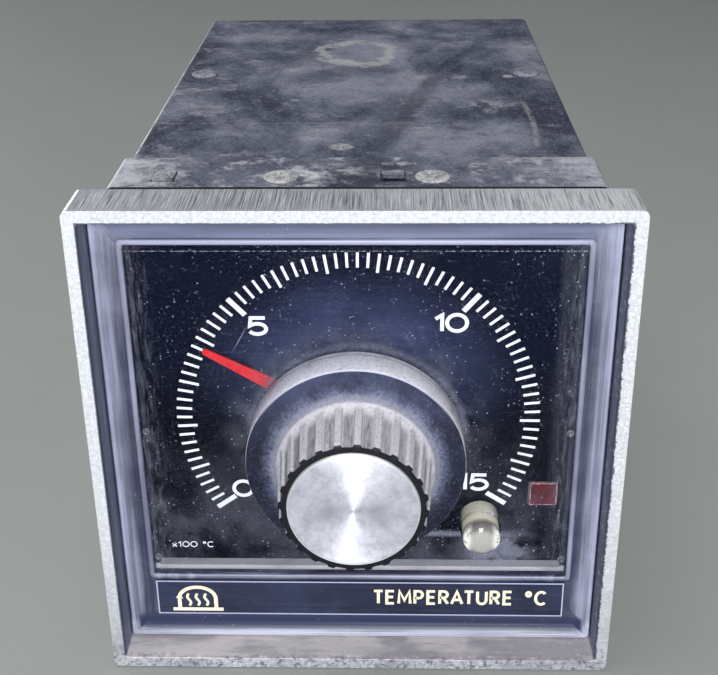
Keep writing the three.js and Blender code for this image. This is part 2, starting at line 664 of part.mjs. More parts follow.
add('relay_base', block(boardFace - RELAY_BASE, boardFace, RELAY.y0, RELAY.y1, RELAY.z0, RELAY.z1),
  'blackPlastic');
add('relay_cover', relayCover(), 'clear');
add('relay_yoke', relayYoke(), 'steel');
add('relay_coil', relayCoil(), 'copper');
add('relay_armature', relayArmature(), 'steel');

// ---- Rear: edge connectors, rear plate, terminal block and its screws ----

const REAR_PLATE = { y0: 152.6, y1: 154.6 };
const CONNECTOR = { wall: 2.6, front: 146.4, halfZ: 24 };
const TERMINALS = 6;
const TERMINAL_PITCH = 12;
const TERMINAL_BLOCK = { halfX: 37, halfZ: 10, floor: 158.8, top: 164.5, barrier: 1, bore: 1.8 };
const TERMINAL_SCREW = { shank: 1.5, radius: 3.4, height: 2.3, depth: 2.6 };

function edgeConnector(side) {
  const { wall, front, halfZ } = CONNECTOR;
  const [x0, x1] = across(side, BOARD_NEAR - BOARD_SHEET - wall, BOARD_NEAR + wall);
  const [s0, s1] = across(side, BOARD_NEAR - BOARD_SHEET - GAP, BOARD_NEAR + GAP);
  const slot = block(s0, s1, front - 1, BOARD_END + GAP, -halfZ - 1, halfZ + 1);
  return carve(block(x0, x1, front, REAR_PLATE.y0 - SEAT, -halfZ, halfZ), slot);
}

const terminalX = (index) => (index - (TERMINALS - 1) / 2) * TERMINAL_PITCH;

function terminalBlock() {
  const { halfX, halfZ, floor, top, barrier, bore } = TERMINAL_BLOCK;
  const base = block(-halfX, halfX, REAR_PLATE.y1 + SEAT, floor, -halfZ, halfZ);
  const walls = [];
  const holes = [];
  for (let i = 0; i <= TERMINALS; i += 1) {
    const x = terminalX(i - 0.5);
    walls.push(block(x - barrier, x + barrier, floor - 1, top, -halfZ, halfZ));
    if (i < TERMINALS) holes.push(rod(bore, floor - 3, floor + 1, SMALL, terminalX(i), 0));
  }
  return carve(join(base, ...walls), ...holes);
}

function terminalScrew(index) {
  const { floor } = TERMINAL_BLOCK;
  const { shank, radius, height, depth } = TERMINAL_SCREW;
  const [tip, seat, top] = [floor - depth, floor + SEAT, floor + height];
  return turned([
    [0, tip], [shank, tip], [shank, seat], [radius, seat], [radius, top - 0.9], [radius - 1, top], [0, top],
  ], SMALL, terminalX(index), 0);
}

function rearPlate() {
  const outline = rectangle(SPIGOT_HALF_X, -SPIGOT_HALF_Z, SPIGOT_HALF_Z, 0.4);
  return alongY(outline, REAR_PLATE.y0, REAR_PLATE.y1);
}

add('edge_connector_left', edgeConnector(-1), 'blackPlastic');
add('edge_connector_right', edgeConnector(1), 'blackPlastic');
add('rear_plate', rearPlate(), 'caseMetal');
add('terminal_block', terminalBlock(), 'blackPlastic');
for (let i = 0; i < TERMINALS; i += 1) add(`terminal_screw_${i + 1}`, terminalScrew(i), 'brass');

// ---- Set down on its underside ----

controller.position.set(0, -(CAP_FRONT + TERMINAL_BLOCK.top) / 2, HALF_BEZEL);

export default controller;
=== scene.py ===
"""Looks of a panel-mounted dial temperature controller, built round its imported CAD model.

Pieces are laid out in the instrument's own frame, in millimetres: X to the right, Y from the bezel's
front face towards the rear, Z up, with zero at the middle of the bezel's front face. at() turns such a
point into metres in the frame of the part.
"""

import math

import bmesh
import bpy
from mathutils import Matrix, Vector


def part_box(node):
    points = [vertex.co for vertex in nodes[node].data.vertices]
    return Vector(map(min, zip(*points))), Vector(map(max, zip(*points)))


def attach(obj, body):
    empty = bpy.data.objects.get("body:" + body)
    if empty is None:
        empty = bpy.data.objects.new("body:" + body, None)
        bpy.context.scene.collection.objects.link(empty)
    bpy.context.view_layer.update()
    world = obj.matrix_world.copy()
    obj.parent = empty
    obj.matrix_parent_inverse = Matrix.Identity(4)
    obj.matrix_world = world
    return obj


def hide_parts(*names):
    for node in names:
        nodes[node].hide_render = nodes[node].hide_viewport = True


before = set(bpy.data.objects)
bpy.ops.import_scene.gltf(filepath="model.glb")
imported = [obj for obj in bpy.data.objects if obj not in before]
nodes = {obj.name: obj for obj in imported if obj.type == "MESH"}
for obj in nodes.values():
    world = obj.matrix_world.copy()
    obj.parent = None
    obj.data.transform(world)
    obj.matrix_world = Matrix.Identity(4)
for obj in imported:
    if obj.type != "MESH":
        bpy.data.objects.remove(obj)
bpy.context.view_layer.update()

MM = 0.001
BEZEL_LOW, BEZEL_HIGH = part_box("bezel_frame")
ZERO = Vector((0, BEZEL_LOW.y, (BEZEL_LOW.z + BEZEL_HIGH.z) / 2))
FULL_TURN = 2 * math.pi


def at(x, y, z):
    return ZERO + Vector((x, y, z)) * MM


def span(node):
    """Lowest and highest corner of a CAD node, in the instrument's millimetres."""
    low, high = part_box(node)
    return (low - ZERO) / MM, (high - ZERO) / MM


# ---- Places that several pieces share ----

HALF_BEZEL = (BEZEL_HIGH.x - BEZEL_LOW.x) / 2 / MM
WALL = 2.3              # of the bezel
INNER = HALF_BEZEL - WALL
DIAL_Z = 1.5            # the middle of the dial and of the knob
DIAL_FACE = span("dial_plate")[0].y
CASE_TOP = span("case_sleeve")[1].z
CASE_SIDE = span("case_sleeve")[1].x
COLLAR_TOP = 45.3
LAMP_X, LAMP_Z = 23.4, -20.8
SKIRT = span("knob")[1].x
GRIP_END = -16.9
CAP_DISC = 11.12        # radius of the part of the cap that shows
CAP_FLANGE = GRIP_END + 0.3
WIPE_Z = -23.3          # a streak wiped across the window beside the lamp, from the middle of the dial
TONGUES_X = (6.55, -35.1)   # tongues lanced in the collar
TONGUE_SLIT_Y = 21.6
MARKS, SWEEP, FIRST_MARK = 75, 250, -126.2   # divisions of the scale, and degrees clockwise from straight up
FLUTES = 24
RIB = ((0.0, 0), (0.16, 0), (0.32, 0), (0.38, 0.8), (0.46, 1), (0.67, 1), (0.88, 1), (0.94, 0.8))
RIB_PHASE = 3.5 / 15 - 0.16   # the nearest rib to the top stands 3.5 degrees clockwise of it
HAIR = 0.006            # between the fronts of strokes that cross


# ---- Camera, light and floor ----

def add_object(name, data):
    made = bpy.data.objects.new(name, data)
    bpy.context.scene.collection.objects.link(made)
    return made


def add_camera():
    """The camera of a phone held in front of the instrument and a little above it."""
    azimuth, elevation, roll = (math.radians(d) for d in (1.663, 24.841, -0.662))
    level = math.cos(elevation)
    back = Vector((math.sin(azimuth) * level, -math.cos(azimuth) * level, math.sin(elevation)))
    right = (-back).cross(Vector((0, 0, 1))).normalized()
    up = right.cross(-back)
    across = right * math.cos(roll) + up * math.sin(roll)
    upright = up * math.cos(roll) - right * math.sin(roll)
    data = bpy.data.cameras.new("camera")
    data.sensor_width = 36
    data.lens = 60.05
    data.shift_y = -0.08
    data.clip_start = 0.01
    camera = add_object("camera", data)
    turn = Matrix((across, upright, back)).transposed().to_4x4()
    camera.matrix_world = Matrix.Translation(at(6.113, -180.721, 119.385)) @ turn
    bpy.context.scene.camera = camera


def add_lamp(name, place, target, size, power):
    data = bpy.data.lights.new(name, "AREA")
    data.shape = "DISK"
    data.size = size
    data.energy = power
    light = add_object(name, data)
    light.location = place
    light.rotation_euler = (Vector(target) - Vector(place)).to_track_quat("-Z", "Y").to_euler()


def add_studio():
    scene = bpy.context.scene
    scene.view_settings.view_transform = "Standard"
    world = bpy.data.worlds.new("studio")
    world.use_nodes = True
    background = world.node_tree.nodes["Background"]
    background.inputs["Color"].default_value = (0.86, 0.92, 1.0, 1)
    background.inputs["Strength"].default_value = 0.17
    scene.world = world
    face = (0, -0.03, 0.04)
    add_lamp("key", (0.02, -0.7, 0.37), face, 0.16, 4.8)
    add_lamp("fill", (0.03, -0.8, 0.14), face, 0.12, 2.0)
    add_lamp("overhead", (-0.15, 0.05, 0.9), (0, 0, 0), 0.7, 3.6)
    add_lamp("back", (-0.9, 1.6, 0.14), (0, 0.1, 0.04), 0.12, 7)


def add_floor():
    """The bench top, which touches the bezel's lower rear edge and the case's lower rear edge."""
    bezel_edge = Vector((0, BEZEL_HIGH.y, BEZEL_LOW.z))
    case_low, case_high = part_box("case_sleeve")
    case_edge = Vector((0, case_high.y, case_low.z))
    reach = 3
    slope = (case_edge - bezel_edge).normalized() * reach
    side = Vector((reach, 0, 0))
    mesh = bpy.data.meshes.new("floor")
    signs = ((-1, -1), (-1, 1), (1, 1), (1, -1))
    mesh.from_pydata([bezel_edge + slope * i + side * j for i, j in signs], [], [(0, 1, 2, 3)])
    floor = add_object("floor", mesh)
    finish = Finish("floor paint", {"Roughness": 0.7})
    finish.colour(0x939793, (finish.noise(finish.place(), 0.02), 0x9B9E9B))
    floor.data.materials.append(finish.material)


# ---- Materials: a Principled shader fed by terms that vary over the surface ----

def operator(operation, swapped=False):
    def apply(self, *others):
        return self.calc(operation, *((*others, self) if swapped else (self, *others)))
    return apply


class Term:
    """A number that varies over a surface, with ordinary arithmetic. It is the output of a shader node."""

    def __init__(self, tree, socket):
        self.tree = tree
        self.socket = socket

    def calc(self, operation, *values):
        node = self.tree.nodes.new("ShaderNodeMath")
        node.operation = operation
        for slot, value in zip(node.inputs, values):
            feed(self.tree, slot, value)
        return Term(self.tree, node.outputs[0])

    __add__ = __radd__ = operator("ADD")
    __sub__ = operator("SUBTRACT")
    __rsub__ = operator("SUBTRACT", swapped=True)
    __mul__ = __rmul__ = operator("MULTIPLY")
    __truediv__ = operator("DIVIDE")
    __pow__ = operator("POWER")
    __abs__ = operator("ABSOLUTE")
    least = operator("MINIMUM")
    most = operator("MAXIMUM")

    def step(self, low, high):
        """Rises smoothly from 0 at low to 1 at high; with low above high it falls."""
        node = self.tree.nodes.new("ShaderNodeMapRange")
        node.interpolation_type = "SMOOTHSTEP"
        for name, value in (("Value", self), ("From Min", low), ("From Max", high)):
            feed(self.tree, node.inputs[name], value)
        return Term(self.tree, node.outputs["Result"])


def shader_colour(screen_colour):
    """The linear colour that shaders take, for a colour as it looks on a screen, written as 0xRRGGBB."""
    shares = [part / 255 for part in screen_colour.to_bytes(3, "big")]
    return [s / 12.92 if s <= 0.04045 else ((s + 0.055) / 1.055) ** 2.4 for s in shares] + [1.0]


def feed(tree, slot, value):
    """Links a term to a socket, or sets the socket to a constant. A screen colour is a whole number."""
    if isinstance(value, Term):
        tree.links.new(value.socket, slot)
    elif slot.type == "RGBA" and isinstance(value, int):
        slot.default_value = shader_colour(value)
    else:
        slot.default_value = value


class Finish:
    """A material, with the calls that build up its shader."""

    def __init__(self, name, values):
        self.material = bpy.data.materials.new(name)
        self.material.use_nodes = True
        self.tree = self.material.node_tree
        self.shader = self.tree.nodes["Principled BSDF"]
        self.output = self.tree.nodes["Material Output"]
        for slot, value in values.items():
            self.set(slot, value)

    def set(self, slot, value):
        feed(self.tree, self.shader.inputs[slot], value)

    def node(self, kind, inputs, output=0, **settings):
        made = self.tree.nodes.new("ShaderNode" + kind)
        for name, value in settings.items():
            setattr(made, name, value)
        for slot, value in inputs.items():
            feed(self.tree, made.inputs[slot], value)
        return Term(self.tree, made.outputs[output])

    def place(self, x=0, z=0):
        """X, Y and Z on the surface in the instrument's millimetres, measured from (x, z)."""
        start = self.node("TexCoord", {}, "Object")
        offset = (ZERO + Vector((x, 0, z)) * MM) / MM
        moved = self.node("VectorMath", {0: start, 1: (1 / MM,) * 3, 2: -offset}, operation="MULTIPLY_ADD")
        parts = self.tree.nodes.new("ShaderNodeSeparateXYZ")
        feed(self.tree, parts.inputs[0], moved)
        return [Term(self.tree, out) for out in parts.outputs]

    def point(self, parts):
        return self.node("CombineXYZ", dict(enumerate(parts)))

    def noise(self, parts, scale, detail=3, roughness=0.6, distortion=0):
        inputs = {
            "Vector": self.point(parts), "Scale": scale, "Detail": detail, "Roughness": roughness,
            "Distortion": distortion}
        return self.node("TexNoise", inputs, "Fac")

    def specks(self, parts, scale, size, share):
        """Spots of many sizes, one to a cell of 1 / scale millimetres. A larger share leaves fewer large."""
        colour = self.node("TexVoronoi", {"Vector": self.point(parts), "Scale": scale}, "Color")
        distance = Term(self.tree, colour.socket.node.outputs["Distance"])
        chance = self.node("SeparateColor", {0: colour})
        return (chance ** share * size - distance).step(0, 0.06)

    def mix(self, share, first, second):
        node = self.tree.nodes.new("ShaderNodeMix")
        node.data_type = "RGBA"
        for slot, value in (("Factor", share), ("A", first), ("B", second)):
            target = next(s for s in node.inputs if s.name == slot and s.enabled)
            feed(self.tree, target, value)
        return Term(self.tree, next(s for s in node.outputs if s.enabled))

    def paint(self, base, *layers):
        """A base colour with other colours laid over it, each through its own mask."""
        for mask, colour in layers:
            base = self.mix(mask, base, colour)
        return base

    def colour(self, base, *layers):
        self.set("Base Color", self.paint(base, *layers))

    def shade(self, slot, base, *layers):
        """Layers like those of paint, for a slot that takes a plain number."""
        for mask, value in layers:
            base = mask * (value - base) + base
        self.set(slot, base)

    def bump(self, height, depth):
        """Relief of that many millimetres where height goes from 0 to 1."""
        self.set("Normal", self.node("Bump", {"Height": height, "Distance": depth * MM}, "Normal"))

    def over_clear(self, share, tint):
        """This surface laid by that share over a clear one."""
        clear = self.node("BsdfTransparent", {"Color": tint})
        return self.node("MixShader", {0: share, 1: clear, 2: Term(self.tree, self.shader.outputs[0])})

    def show(self, shader):
        self.tree.links.new(shader.socket, self.output.inputs["Surface"])


# ---- Meshes ----

def link_mesh(name, points, faces, smooth_angle):
    mesh = bpy.data.meshes.new(name)
    mesh.from_pydata([at(*point) for point in points], [], faces)
    shape = bmesh.new()
    shape.from_mesh(mesh)
    bmesh.ops.remove_doubles(shape, verts=shape.verts, dist=1e-7)
    bmesh.ops.recalc_face_normals(shape, faces=shape.faces)
    for face in shape.faces:
        face.smooth = True
    for edge in shape.edges:
        edge.smooth = len(edge.link_faces) == 2 and edge.calc_face_angle() < math.radians(smooth_angle)
    shape.to_mesh(mesh)
    shape.free()
    return add_object(name, mesh)


def loft(name, rings, closed=False, smooth_angle=40):
    """A skin over rings of equally many points, joined from last to first if it is closed, else capped."""
    count = len(rings[0])
    points = [point for ring in rings for point in ring]
    faces = []
    for i in range(len(rings) if closed else len(rings) - 1):
        here, there = i * count, (i + 1) % len(rings) * count
        for j in range(count):
            k = (j + 1) % count
            faces.append((here + j, here + k, there + k, there + j))
    if not closed:
        faces.append(tuple(range(count)))
        faces.append(tuple(range(len(points) - count, len(points))))
    return link_mesh(name, points, faces, smooth_angle)


def turned(name, profile, segments, place, smooth_angle=40):
    """A profile of (radius, height) points turned about an axis. place(u, v, height) puts it in space."""
    rings = []
    for radius, height in profile:
        turns = [FULL_TURN * i / segments for i in range(segments)]
        rings.append([place(radius * math.cos(t), radius * math.sin(t), height) for t in turns])
    return loft(name, rings, True, smooth_angle)


def facing_front(x, z):
    """place() for a piece turned about an axis along Y through (x, z), with heights measured along Y."""
    return lambda u, v, height: (x + u, height, z + v)


def rounded_rectangle(half_x, low, high, y, radius, per_corner=4):
    ring = []
    corners = ((1, low, -0.25), (1, high, 0), (-1, high, 0.25), (-1, low, 0.5))
    for side, edge, start in corners:
        cx = side * (half_x - radius)
        cz = edge + radius if edge == low else edge - radius
        for i in range(per_corner):
            turn = FULL_TURN * (start + 0.25 * i / (per_corner - 1))
            ring.append((cx + radius * math.cos(turn), y, cz + radius * math.sin(turn)))
    return ring


def soften(piece, width):
    """Rounds the edges with modifiers, which leave the mesh itself as it is."""
    weld = piece.modifiers.new("weld", "WELD")
    weld.merge_threshold = 1e-6
    bevel = piece.modifiers.new("bevel", "BEVEL")
    bevel.width = width * MM
    bevel.segments = 2
    bevel.limit_method = "ANGLE"
    bevel.angle_limit = math.radians(35)


def fit(piece, finish, body, slot, *replaced):
    """Gives a new piece its finish and its body, and hides the CAD nodes that it replaces. The slot is not
    used.
    """
    piece.data.materials.append(finish.material)
    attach(piece, body)
    if replaced:
        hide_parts(*replaced)


# ---- Printed lines and lettering: strokes of constant width, standing a hair above the surface ----

def arc(cx, cz, radius_x, radius_z, start, end, steps):
    """Points on an ellipse, with the angles in degrees anticlockwise from the right."""
    turns = [math.radians(start + (end - start) * i / steps) for i in range(steps + 1)]
    return [(cx + radius_x * math.cos(t), cz + radius_z * math.sin(t)) for t in turns]


def outline(path, width, closed):
    """The left and right edge of a stroke along a flat path, mitred at its corners."""
    points = [Vector(p) for p in path]
    if closed and (points[0] - points[-1]).length < 1e-6:
        points.pop()
    left, right = [], []
    for i, point in enumerate(points):
        before = points[i - 1] if i or closed else None
        after = points[(i + 1) % len(points)] if i + 1 < len(points) or closed else None
        ways = [
            (b - a).normalized()
            for a, b in ((before, point), (point, after)) if a is not None and b is not None]
        normals = [Vector((-way.y, way.x)) for way in ways]
        middle = sum(normals, Vector((0, 0))).normalized()
        reach = width / 2 / max(middle.dot(normals[0]), 0.5)
        left.append(point + middle * reach)
        right.append(point - middle * reach)
    return left, right


def add_print(name, strokes, front, finish, slot, depth=0.05):
    """One piece of strokes, each (path, width, closed), whose faces look to the front at y = front."""
    points, faces = [], []
    for number, (path, width, closed) in enumerate(strokes):
        left, right = outline(path, width, closed)
        count, first = len(left), len(points)
        level = front - HAIR * (number % 4)
        for y in (level, front + depth):
            points += [(p.x, y, p.y) for p in left] + [(p.x, y, p.y) for p in right]
        for i in range(count if closed else count - 1):
            k = (i + 1) % count
            a, b, c, d = (first + j for j in (i, k, count + k, count + i))
            behind = 2 * count
            faces += [
                (a, b, c, d), (a + behind, b + behind, c + behind, d + behind),
                (a, b, b + behind, a + behind), (d, c, c + behind, d + behind)]
        if not closed:
            for i in (0, count - 1):
                a, b = first + i, first + count + i
                faces.append((a, b, b + 2 * count, a + 2 * count))
    fit(link_mesh(name, points, faces, 20), finish, "case", slot)


# Each character is its width and its strokes, on a unit cap height.
STEM = [(0.0, 0.0), (0.0, 1.0), (0.3, 1.0)]
LETTERS = {
    "0": (0.9, [arc(0.45, 0.5, 0.45, 0.5, 0, 360, 28)]),
    "1": (0.36, [[(0.0, 0.74), (0.3, 0.97), (0.3, 0.0)]]),
    "2": (0.72, [arc(0.36, 0.7, 0.34, 0.3, 165, -35, 12) + [(0.02, 0.0), (0.72, 0.0)]]),
    "3": (0.7, [arc(0.33, 0.74, 0.28, 0.26, 150, -90, 12), arc(0.33, 0.25, 0.35, 0.25, 90, -160, 14)]),
    "4": (0.78, [[(0.6, 0.0), (0.6, 1.0), (0.0, 0.28), (0.78, 0.28)]]),
    "5": (0.84, [[(0.78, 1.0), (0.14, 1.0), (0.08, 0.52)] + arc(0.42, 0.33, 0.4, 0.32, 130, -150, 18)]),
    "6": (0.78, [arc(0.39, 0.3, 0.37, 0.3, 0, 360, 24), arc(0.62, 0.36, 0.6, 0.64, 100, 170, 8)]),
    "x": (0.62, [[(0.0, 0.62), (0.6, 0.0)], [(0.0, 0.0), (0.6, 0.62)]]),
    "*": (0.36, [arc(0.18, 0.82, 0.16, 0.16, 0, 360, 16)]),
    "A": (0.84, [[(0.0, 0.0), (0.42, 1.0), (0.84, 0.0)], [(0.16, 0.32), (0.68, 0.32)]]),
    "C": (0.8, [arc(0.46, 0.5, 0.44, 0.5, 48, 312, 20)]),
    "E": (0.58, [[(0.58, 1.0), (0.0, 1.0), (0.0, 0.0), (0.58, 0.0)], [(0.0, 0.52), (0.52, 0.52)]]),
    "M": (0.92, [[(0.0, 0.0), (0.06, 1.0), (0.46, 0.25), (0.86, 1.0), (0.92, 0.0)]]),
    "P": (0.62, [STEM + arc(0.32, 0.72, 0.28, 0.28, 90, -90, 10) + [(0.0, 0.44)]]),
    "R": (0.66, [STEM + arc(0.32, 0.74, 0.28, 0.26, 90, -90, 10) + [(0.0, 0.48)],
                 [(0.3, 0.48), (0.64, 0.0)]]),
    "T": (0.7, [[(0.0, 1.0), (0.7, 1.0)], [(0.35, 1.0), (0.35, 0.0)]]),
    "U": (0.7, [[(0.0, 1.0)] + arc(0.35, 0.34, 0.35, 0.34, 180, 360, 12) + [(0.7, 1.0)]]),
}
SPACE = 0.42
CLOSER = {"AT": 0.13, "RA": 0.06, "TE": 0.04, "TU": 0.03, "PE": -0.02}   # pairs that look too far apart


def lettering(text, x, z, height, weight, gap, middle=False, width=None, narrow=1):
    """Strokes of a text that starts at (x, z) or is centred on it. weight and gap are shares of the height.

    A line with a width is spaced out or closed up to fill it, and narrow thins each character across.
    """
    bare = [narrow * (SPACE if c == " " else LETTERS[c][0]) for c in text]
    bare = [step - CLOSER.get(text[i:i + 2], 0) for i, step in enumerate(bare)]
    if width:
        gap = (width / height - sum(bare)) / (len(text) - 1)
    advance = [step + gap for step in bare]
    total = (sum(advance) - gap) * height
    start, base = (x - total / 2, z - height / 2) if middle else (x, z)
    strokes = []
    inset = weight / 2
    for character, step in zip(text, advance):
        if character != " ":
            for path in LETTERS[character][1]:
                closed = len(path) > 8 and (Vector(path[0]) - Vector(path[-1])).length < 1e-6
                placed = [
                    (start + px * narrow * height, base + (inset + pz * (1 - weight)) * height)
                    for px, pz in path]
                strokes.append((placed, weight * height, closed))
        start += step * height
    return strokes


# ---- Finishes of the front ----

def from_axis(x, z):
    return (x * x + z * z) ** 0.5


def dust_layers(finish, parts, strength):
    """Masks of fine dust, of larger flecks and of soft clouds of it."""
    fine = finish.specks(parts, 2.1, 0.25 * strength, 4) * finish.noise(parts, 0.3, 4).step(0.38, 0.62)
    large = finish.noise(parts, 1.3, 4, 0.6).step(0.765 - 0.02 * strength, 0.8 - 0.02 * strength)
    cloud = finish.noise(parts, 0.09, 4, 0.65)
    return fine, large, cloud


def bezel_finish():
    finish = Finish("bezel cast metal", {"Metallic": 0.55})
    x, y, z = parts = finish.place()
    grain = finish.noise(parts, 1.3, 8, 0.85)
    cloud = finish.noise(parts, 0.1, 4)
    ragged = finish.noise(parts, 0.75, 8, 0.75)
    reach = abs(x).most(abs(z))
    front = y.step(0.3, 0.05)
    streaks = finish.noise((x * 3.2, y * 0.05, z * 3.2), 1.0, 4, 0.7)
    fine_streaks = finish.noise((x * 8.5, y * 0.1, z * 8.5), 1.0, 2, 0.6)
    groups = finish.noise((x * 0.16, y * 0.05, z * 0.16), 1.0, 3)
    # The brushed metal grows paler towards the right as a painted sheen.
    brushed = finish.paint(
        0xBBBAC4, (groups.step(0.4, 0.66) * 0.5, 0xD0D0D8), (x.step(-10, 44) * 0.9, 0xF8F8FC),
        (streaks.step(0.46, 0.64) * 0.6, 0xDEDEE4), (fine_streaks.step(0.53, 0.62) * 0.9, 0xFCFCFF),
        (fine_streaks.step(0.45, 0.38) * 0.8, 0x5C5C66),
        (streaks.step(0.48, 0.36) * groups.step(0.6, 0.42) * 0.55, 0x585964))
    cast = finish.paint(
        0xC4C8CE, (grain.step(0.48, 0.62), 0xE8EAEE), (grain.step(0.46, 0.36) * 0.7, 0x888E9A),
        (ragged.step(0.6, 0.74) * 0.3, 0x969CA4),
        (z.step(-8, -47) * (cloud.step(0.3, 0.62) * 0.4 + 0.25), 0x80838E),
        (z.step(-40, -46) * ragged.step(0.48, 0.6) * 0.85, 0x50525E),
        (z.step(-43, -46) * grain.step(0.54, 0.64) * 0.8, 0xF0F2F8),
        (x.step(-42, -45) * z.step(-44, -10) * 0.12, 0xEEF1F5))
    rough_side = x.step(20, 46) * 0.9 + 0.18
    inside = (reach + (ragged - 0.5) * rough_side * 2).step(INNER + 0.26, INNER + 0.12) * y.step(11.5, 11)
    bottom = z.step(-INNER + 0.5, -INNER + 0.1)
    soot = finish.noise((x * 0.5, y * 0.8, z), 0.16, 5, 0.6)
    drips = finish.noise((x * 0.1, y * 1.2, z), 1.0, 5, 0.7)
    # The ledge: soot, drips and grain, with painted glints along its front edge.
    ledge_dirt_and_glints = finish.paint(
        0xCEC9CA, (soot.step(0.4, 0.62) * 0.8, 0x96939B), (drips.step(0.5, 0.66) * 0.45, 0x7C7A86),
        (y.step(2.2, -0.5) * ragged.step(0.5, 0.62) * 0.8, 0x58575F),
        (y.step(1.6, 0.4) * ragged.step(0.44, 0.36) * 0.8, 0xF4F4F7),
        (grain.step(0.56, 0.68) * 0.6, 0xDEDCDC))
    shade = finish.noise((x * 0.5, y * 1.2, z * 0.06), 1.0, 4)
    paint = finish.paint(
        0x70748E, (shade.step(0.42, 0.68) * 0.6, 0xA8ACC0), (y.step(2.4, 0.4) * 0.7, 0x2E303E),
        (bottom, ledge_dirt_and_glints))
    finish.colour(brushed, (front, cast), (inside, paint))
    finish.shade("Metallic", 0.6, (front, 0.4), (inside, 0.0))
    finish.shade("Roughness", 0.42, (front, 0.62), (inside, 0.5), (inside * bottom, 0.85))
    finish.bump(grain * front + fine_streaks * (1 - front) * 0.5 - inside * 0.8, 0.05)
    return finish


def moulding_finish():
    finish = Finish("moulding black plastic", {"Coat Weight": 0.12, "Coat Roughness": 0.25})
    x, y, z = parts = finish.place()
    upright = (abs(x) - abs(z)).step(-2.2, 2.2)
    level = 1 - upright
    across = upright * x + level * z
    along = upright * z + level * x
    streaks = finish.noise((across * 2.2, along * 0.03, y * 0.6), 1.0, 4, 0.6)
    wipes = finish.noise((across * 0.5, along * 0.035, y), 1.0, 3, 0.5)
    fine, large, cloud = dust_layers(finish, parts, 1.0)
    reach = abs(x).most(abs(z))
    corner = (abs(x).least(abs(z))).step(35, 44) * z.step(-30, 20)
    cove = reach.step(41.9, 44.0) * reach.step(45.4, 44.6)
    lip = y.step(7.42, 7.15) * reach.step(42, 41.5)
    rim = reach.step(44.55, 44.7) * y.step(6.5, 6.2)
    # upper marks the top of the cove, which lies in the frame's shade and gets painted light.
    upper = z.step(39.9, 40.3) * level
    low = z.step(-40.5, -42.5)
    # haze is dust, with painted highlight lines on the outer rim and on the bead round the window, and a
    # little lighter at the right.
    haze = (streaks.step(0.42, 0.72) * 0.14 + wipes.step(0.4, 0.72) * 0.28 + corner * 0.34
            + cove * (1 - low) * 0.38 + cloud.step(0.42, 0.72) * 0.14 + rim * 0.36 + lip * 0.36
            + x.step(40, 43) * 0.1)
    outer = reach.step(43.5, 44.5)
    haze = haze * (1 - low * (1 - outer) * 0.8)
    # Over the haze: painted light on the top of the cove, a painted highlight along the top of the bead, the
    # lower cove and land kept dark navy, a painted highlight along the bottom rim, and dust.
    finish.colour(
        0x1C213A, (haze.step(-0.1, 1.2), 0xA3A8C0), (upper * (wipes.step(0.3, 0.6) * 0.3 + 0.6), 0x6C7290),
        (lip * level * z.step(36, 38.5) * 0.7, 0xA0A6BC),
        (low * (1 - outer) * (wipes.step(0.6, 0.4) * 0.25 + 0.7), 0x20284C),
        (low * outer * (wipes.step(0.35, 0.6) * 0.5 + 0.4), 0xBABED0), (fine * 0.45, 0xBEC2D2),
        (large * 0.6, 0xD6D9E4))
    finish.shade("Roughness", 0.36, (haze.step(0.1, 1.0), 0.55), (low, 0.95))
    finish.bump(streaks * 0.5 + fine, 0.02)
    return finish


def window_finish():
    """Clear sheet with wiping marks, a haze round the knob, dust as a rough surface on the clear one, and a
    painted highlight along its top edge.
    """
    finish = Finish("window sheet", {"Base Color": 0x9CA1B8, "Roughness": 0.8, "Specular IOR Level": 0.1})
    x, y, z = parts = finish.place(0, DIAL_Z)
    front = span("window")[0].y
    outside = y.step(front + 0.3, front + 0.1)
    fine, large, cloud = dust_layers(finish, parts, 1.5)
    radius = from_axis(x, z)
    spots = finish.noise(parts, 1.1, 5, 0.7)
    powder = finish.noise(parts, 2.8, 3, 0.6).step(0.61, 0.69) * (cloud.step(0.34, 0.6) * 0.7 + 0.3)
    patchy = finish.noise(parts, 0.22, 4)
    nearer = (x * x + (z + 2.4) ** 2) ** 0.5
    deposit = nearer.step(21.3, 19.6) * z.step(-8, 3) * (spots.step(0.34, 0.6) * 0.6 + 0.4)
    ring = nearer.step(27, 20) * (patchy.step(0.3, 0.74)) * z.step(-22, 4)
    wiping = finish.noise((x * 0.1, y, z * 1.6), 1.0, 5, 0.7).step(0.46, 0.74)
    wiping = wiping * z.step(2, 22) * radius.step(42, 24)
    margin = abs(x).step(35.2, 38.4) * finish.noise((x * 1.4, y, z * 0.22), 1.0, 5, 0.75).step(0.44, 0.7)
    low = z.step(2, -26) * x.step(37, 29) * cloud.step(0.34, 0.68)
    # A painted highlight line along the top edge of the window.
    top_edge_highlight = abs(z - 35.9).step(0.1, 0.04) * finish.noise((x, 0.0, 0.0), 1.1, 5, 0.9).step(0.48, 0.54)
    smudge = blot(x, z, 27, -27, 9, 5).step(1.2, 0.2) * patchy.step(0.32, 0.6)
    streak = abs(z - WIPE_Z).step(1.0, 0.1) * x.step(9, 15) * x.step(36, 18) * patchy.step(0.25, 0.5)
    share = (
        deposit * 0.34 + ring * 0.17 + wiping * 0.05 + margin * 0.2 + x.step(34.8, 37) * 0.04 + low * 0.12
        + smudge * 0.42 + streak * 0.34 + cloud.step(0.5, 0.85) * 0.03 + spots.step(0.56, 0.74) * 0.07
        + fine * 0.7 + large * 0.7 + powder * 0.2 + top_edge_highlight * 0.95) * outside
    dusty = finish.over_clear(share.least(0.9), (0.98, 0.985, 1, 1))
    mirror = finish.node("BsdfGlossy", {"Roughness": 0.12, "Color": (0.7, 0.78, 1, 1)})
    glance = finish.node("Fresnel", {"IOR": 1.2})
    finish.show(finish.node("MixShader", {0: glance * 0.3, 1: dusty, 2: mirror}))
    return finish


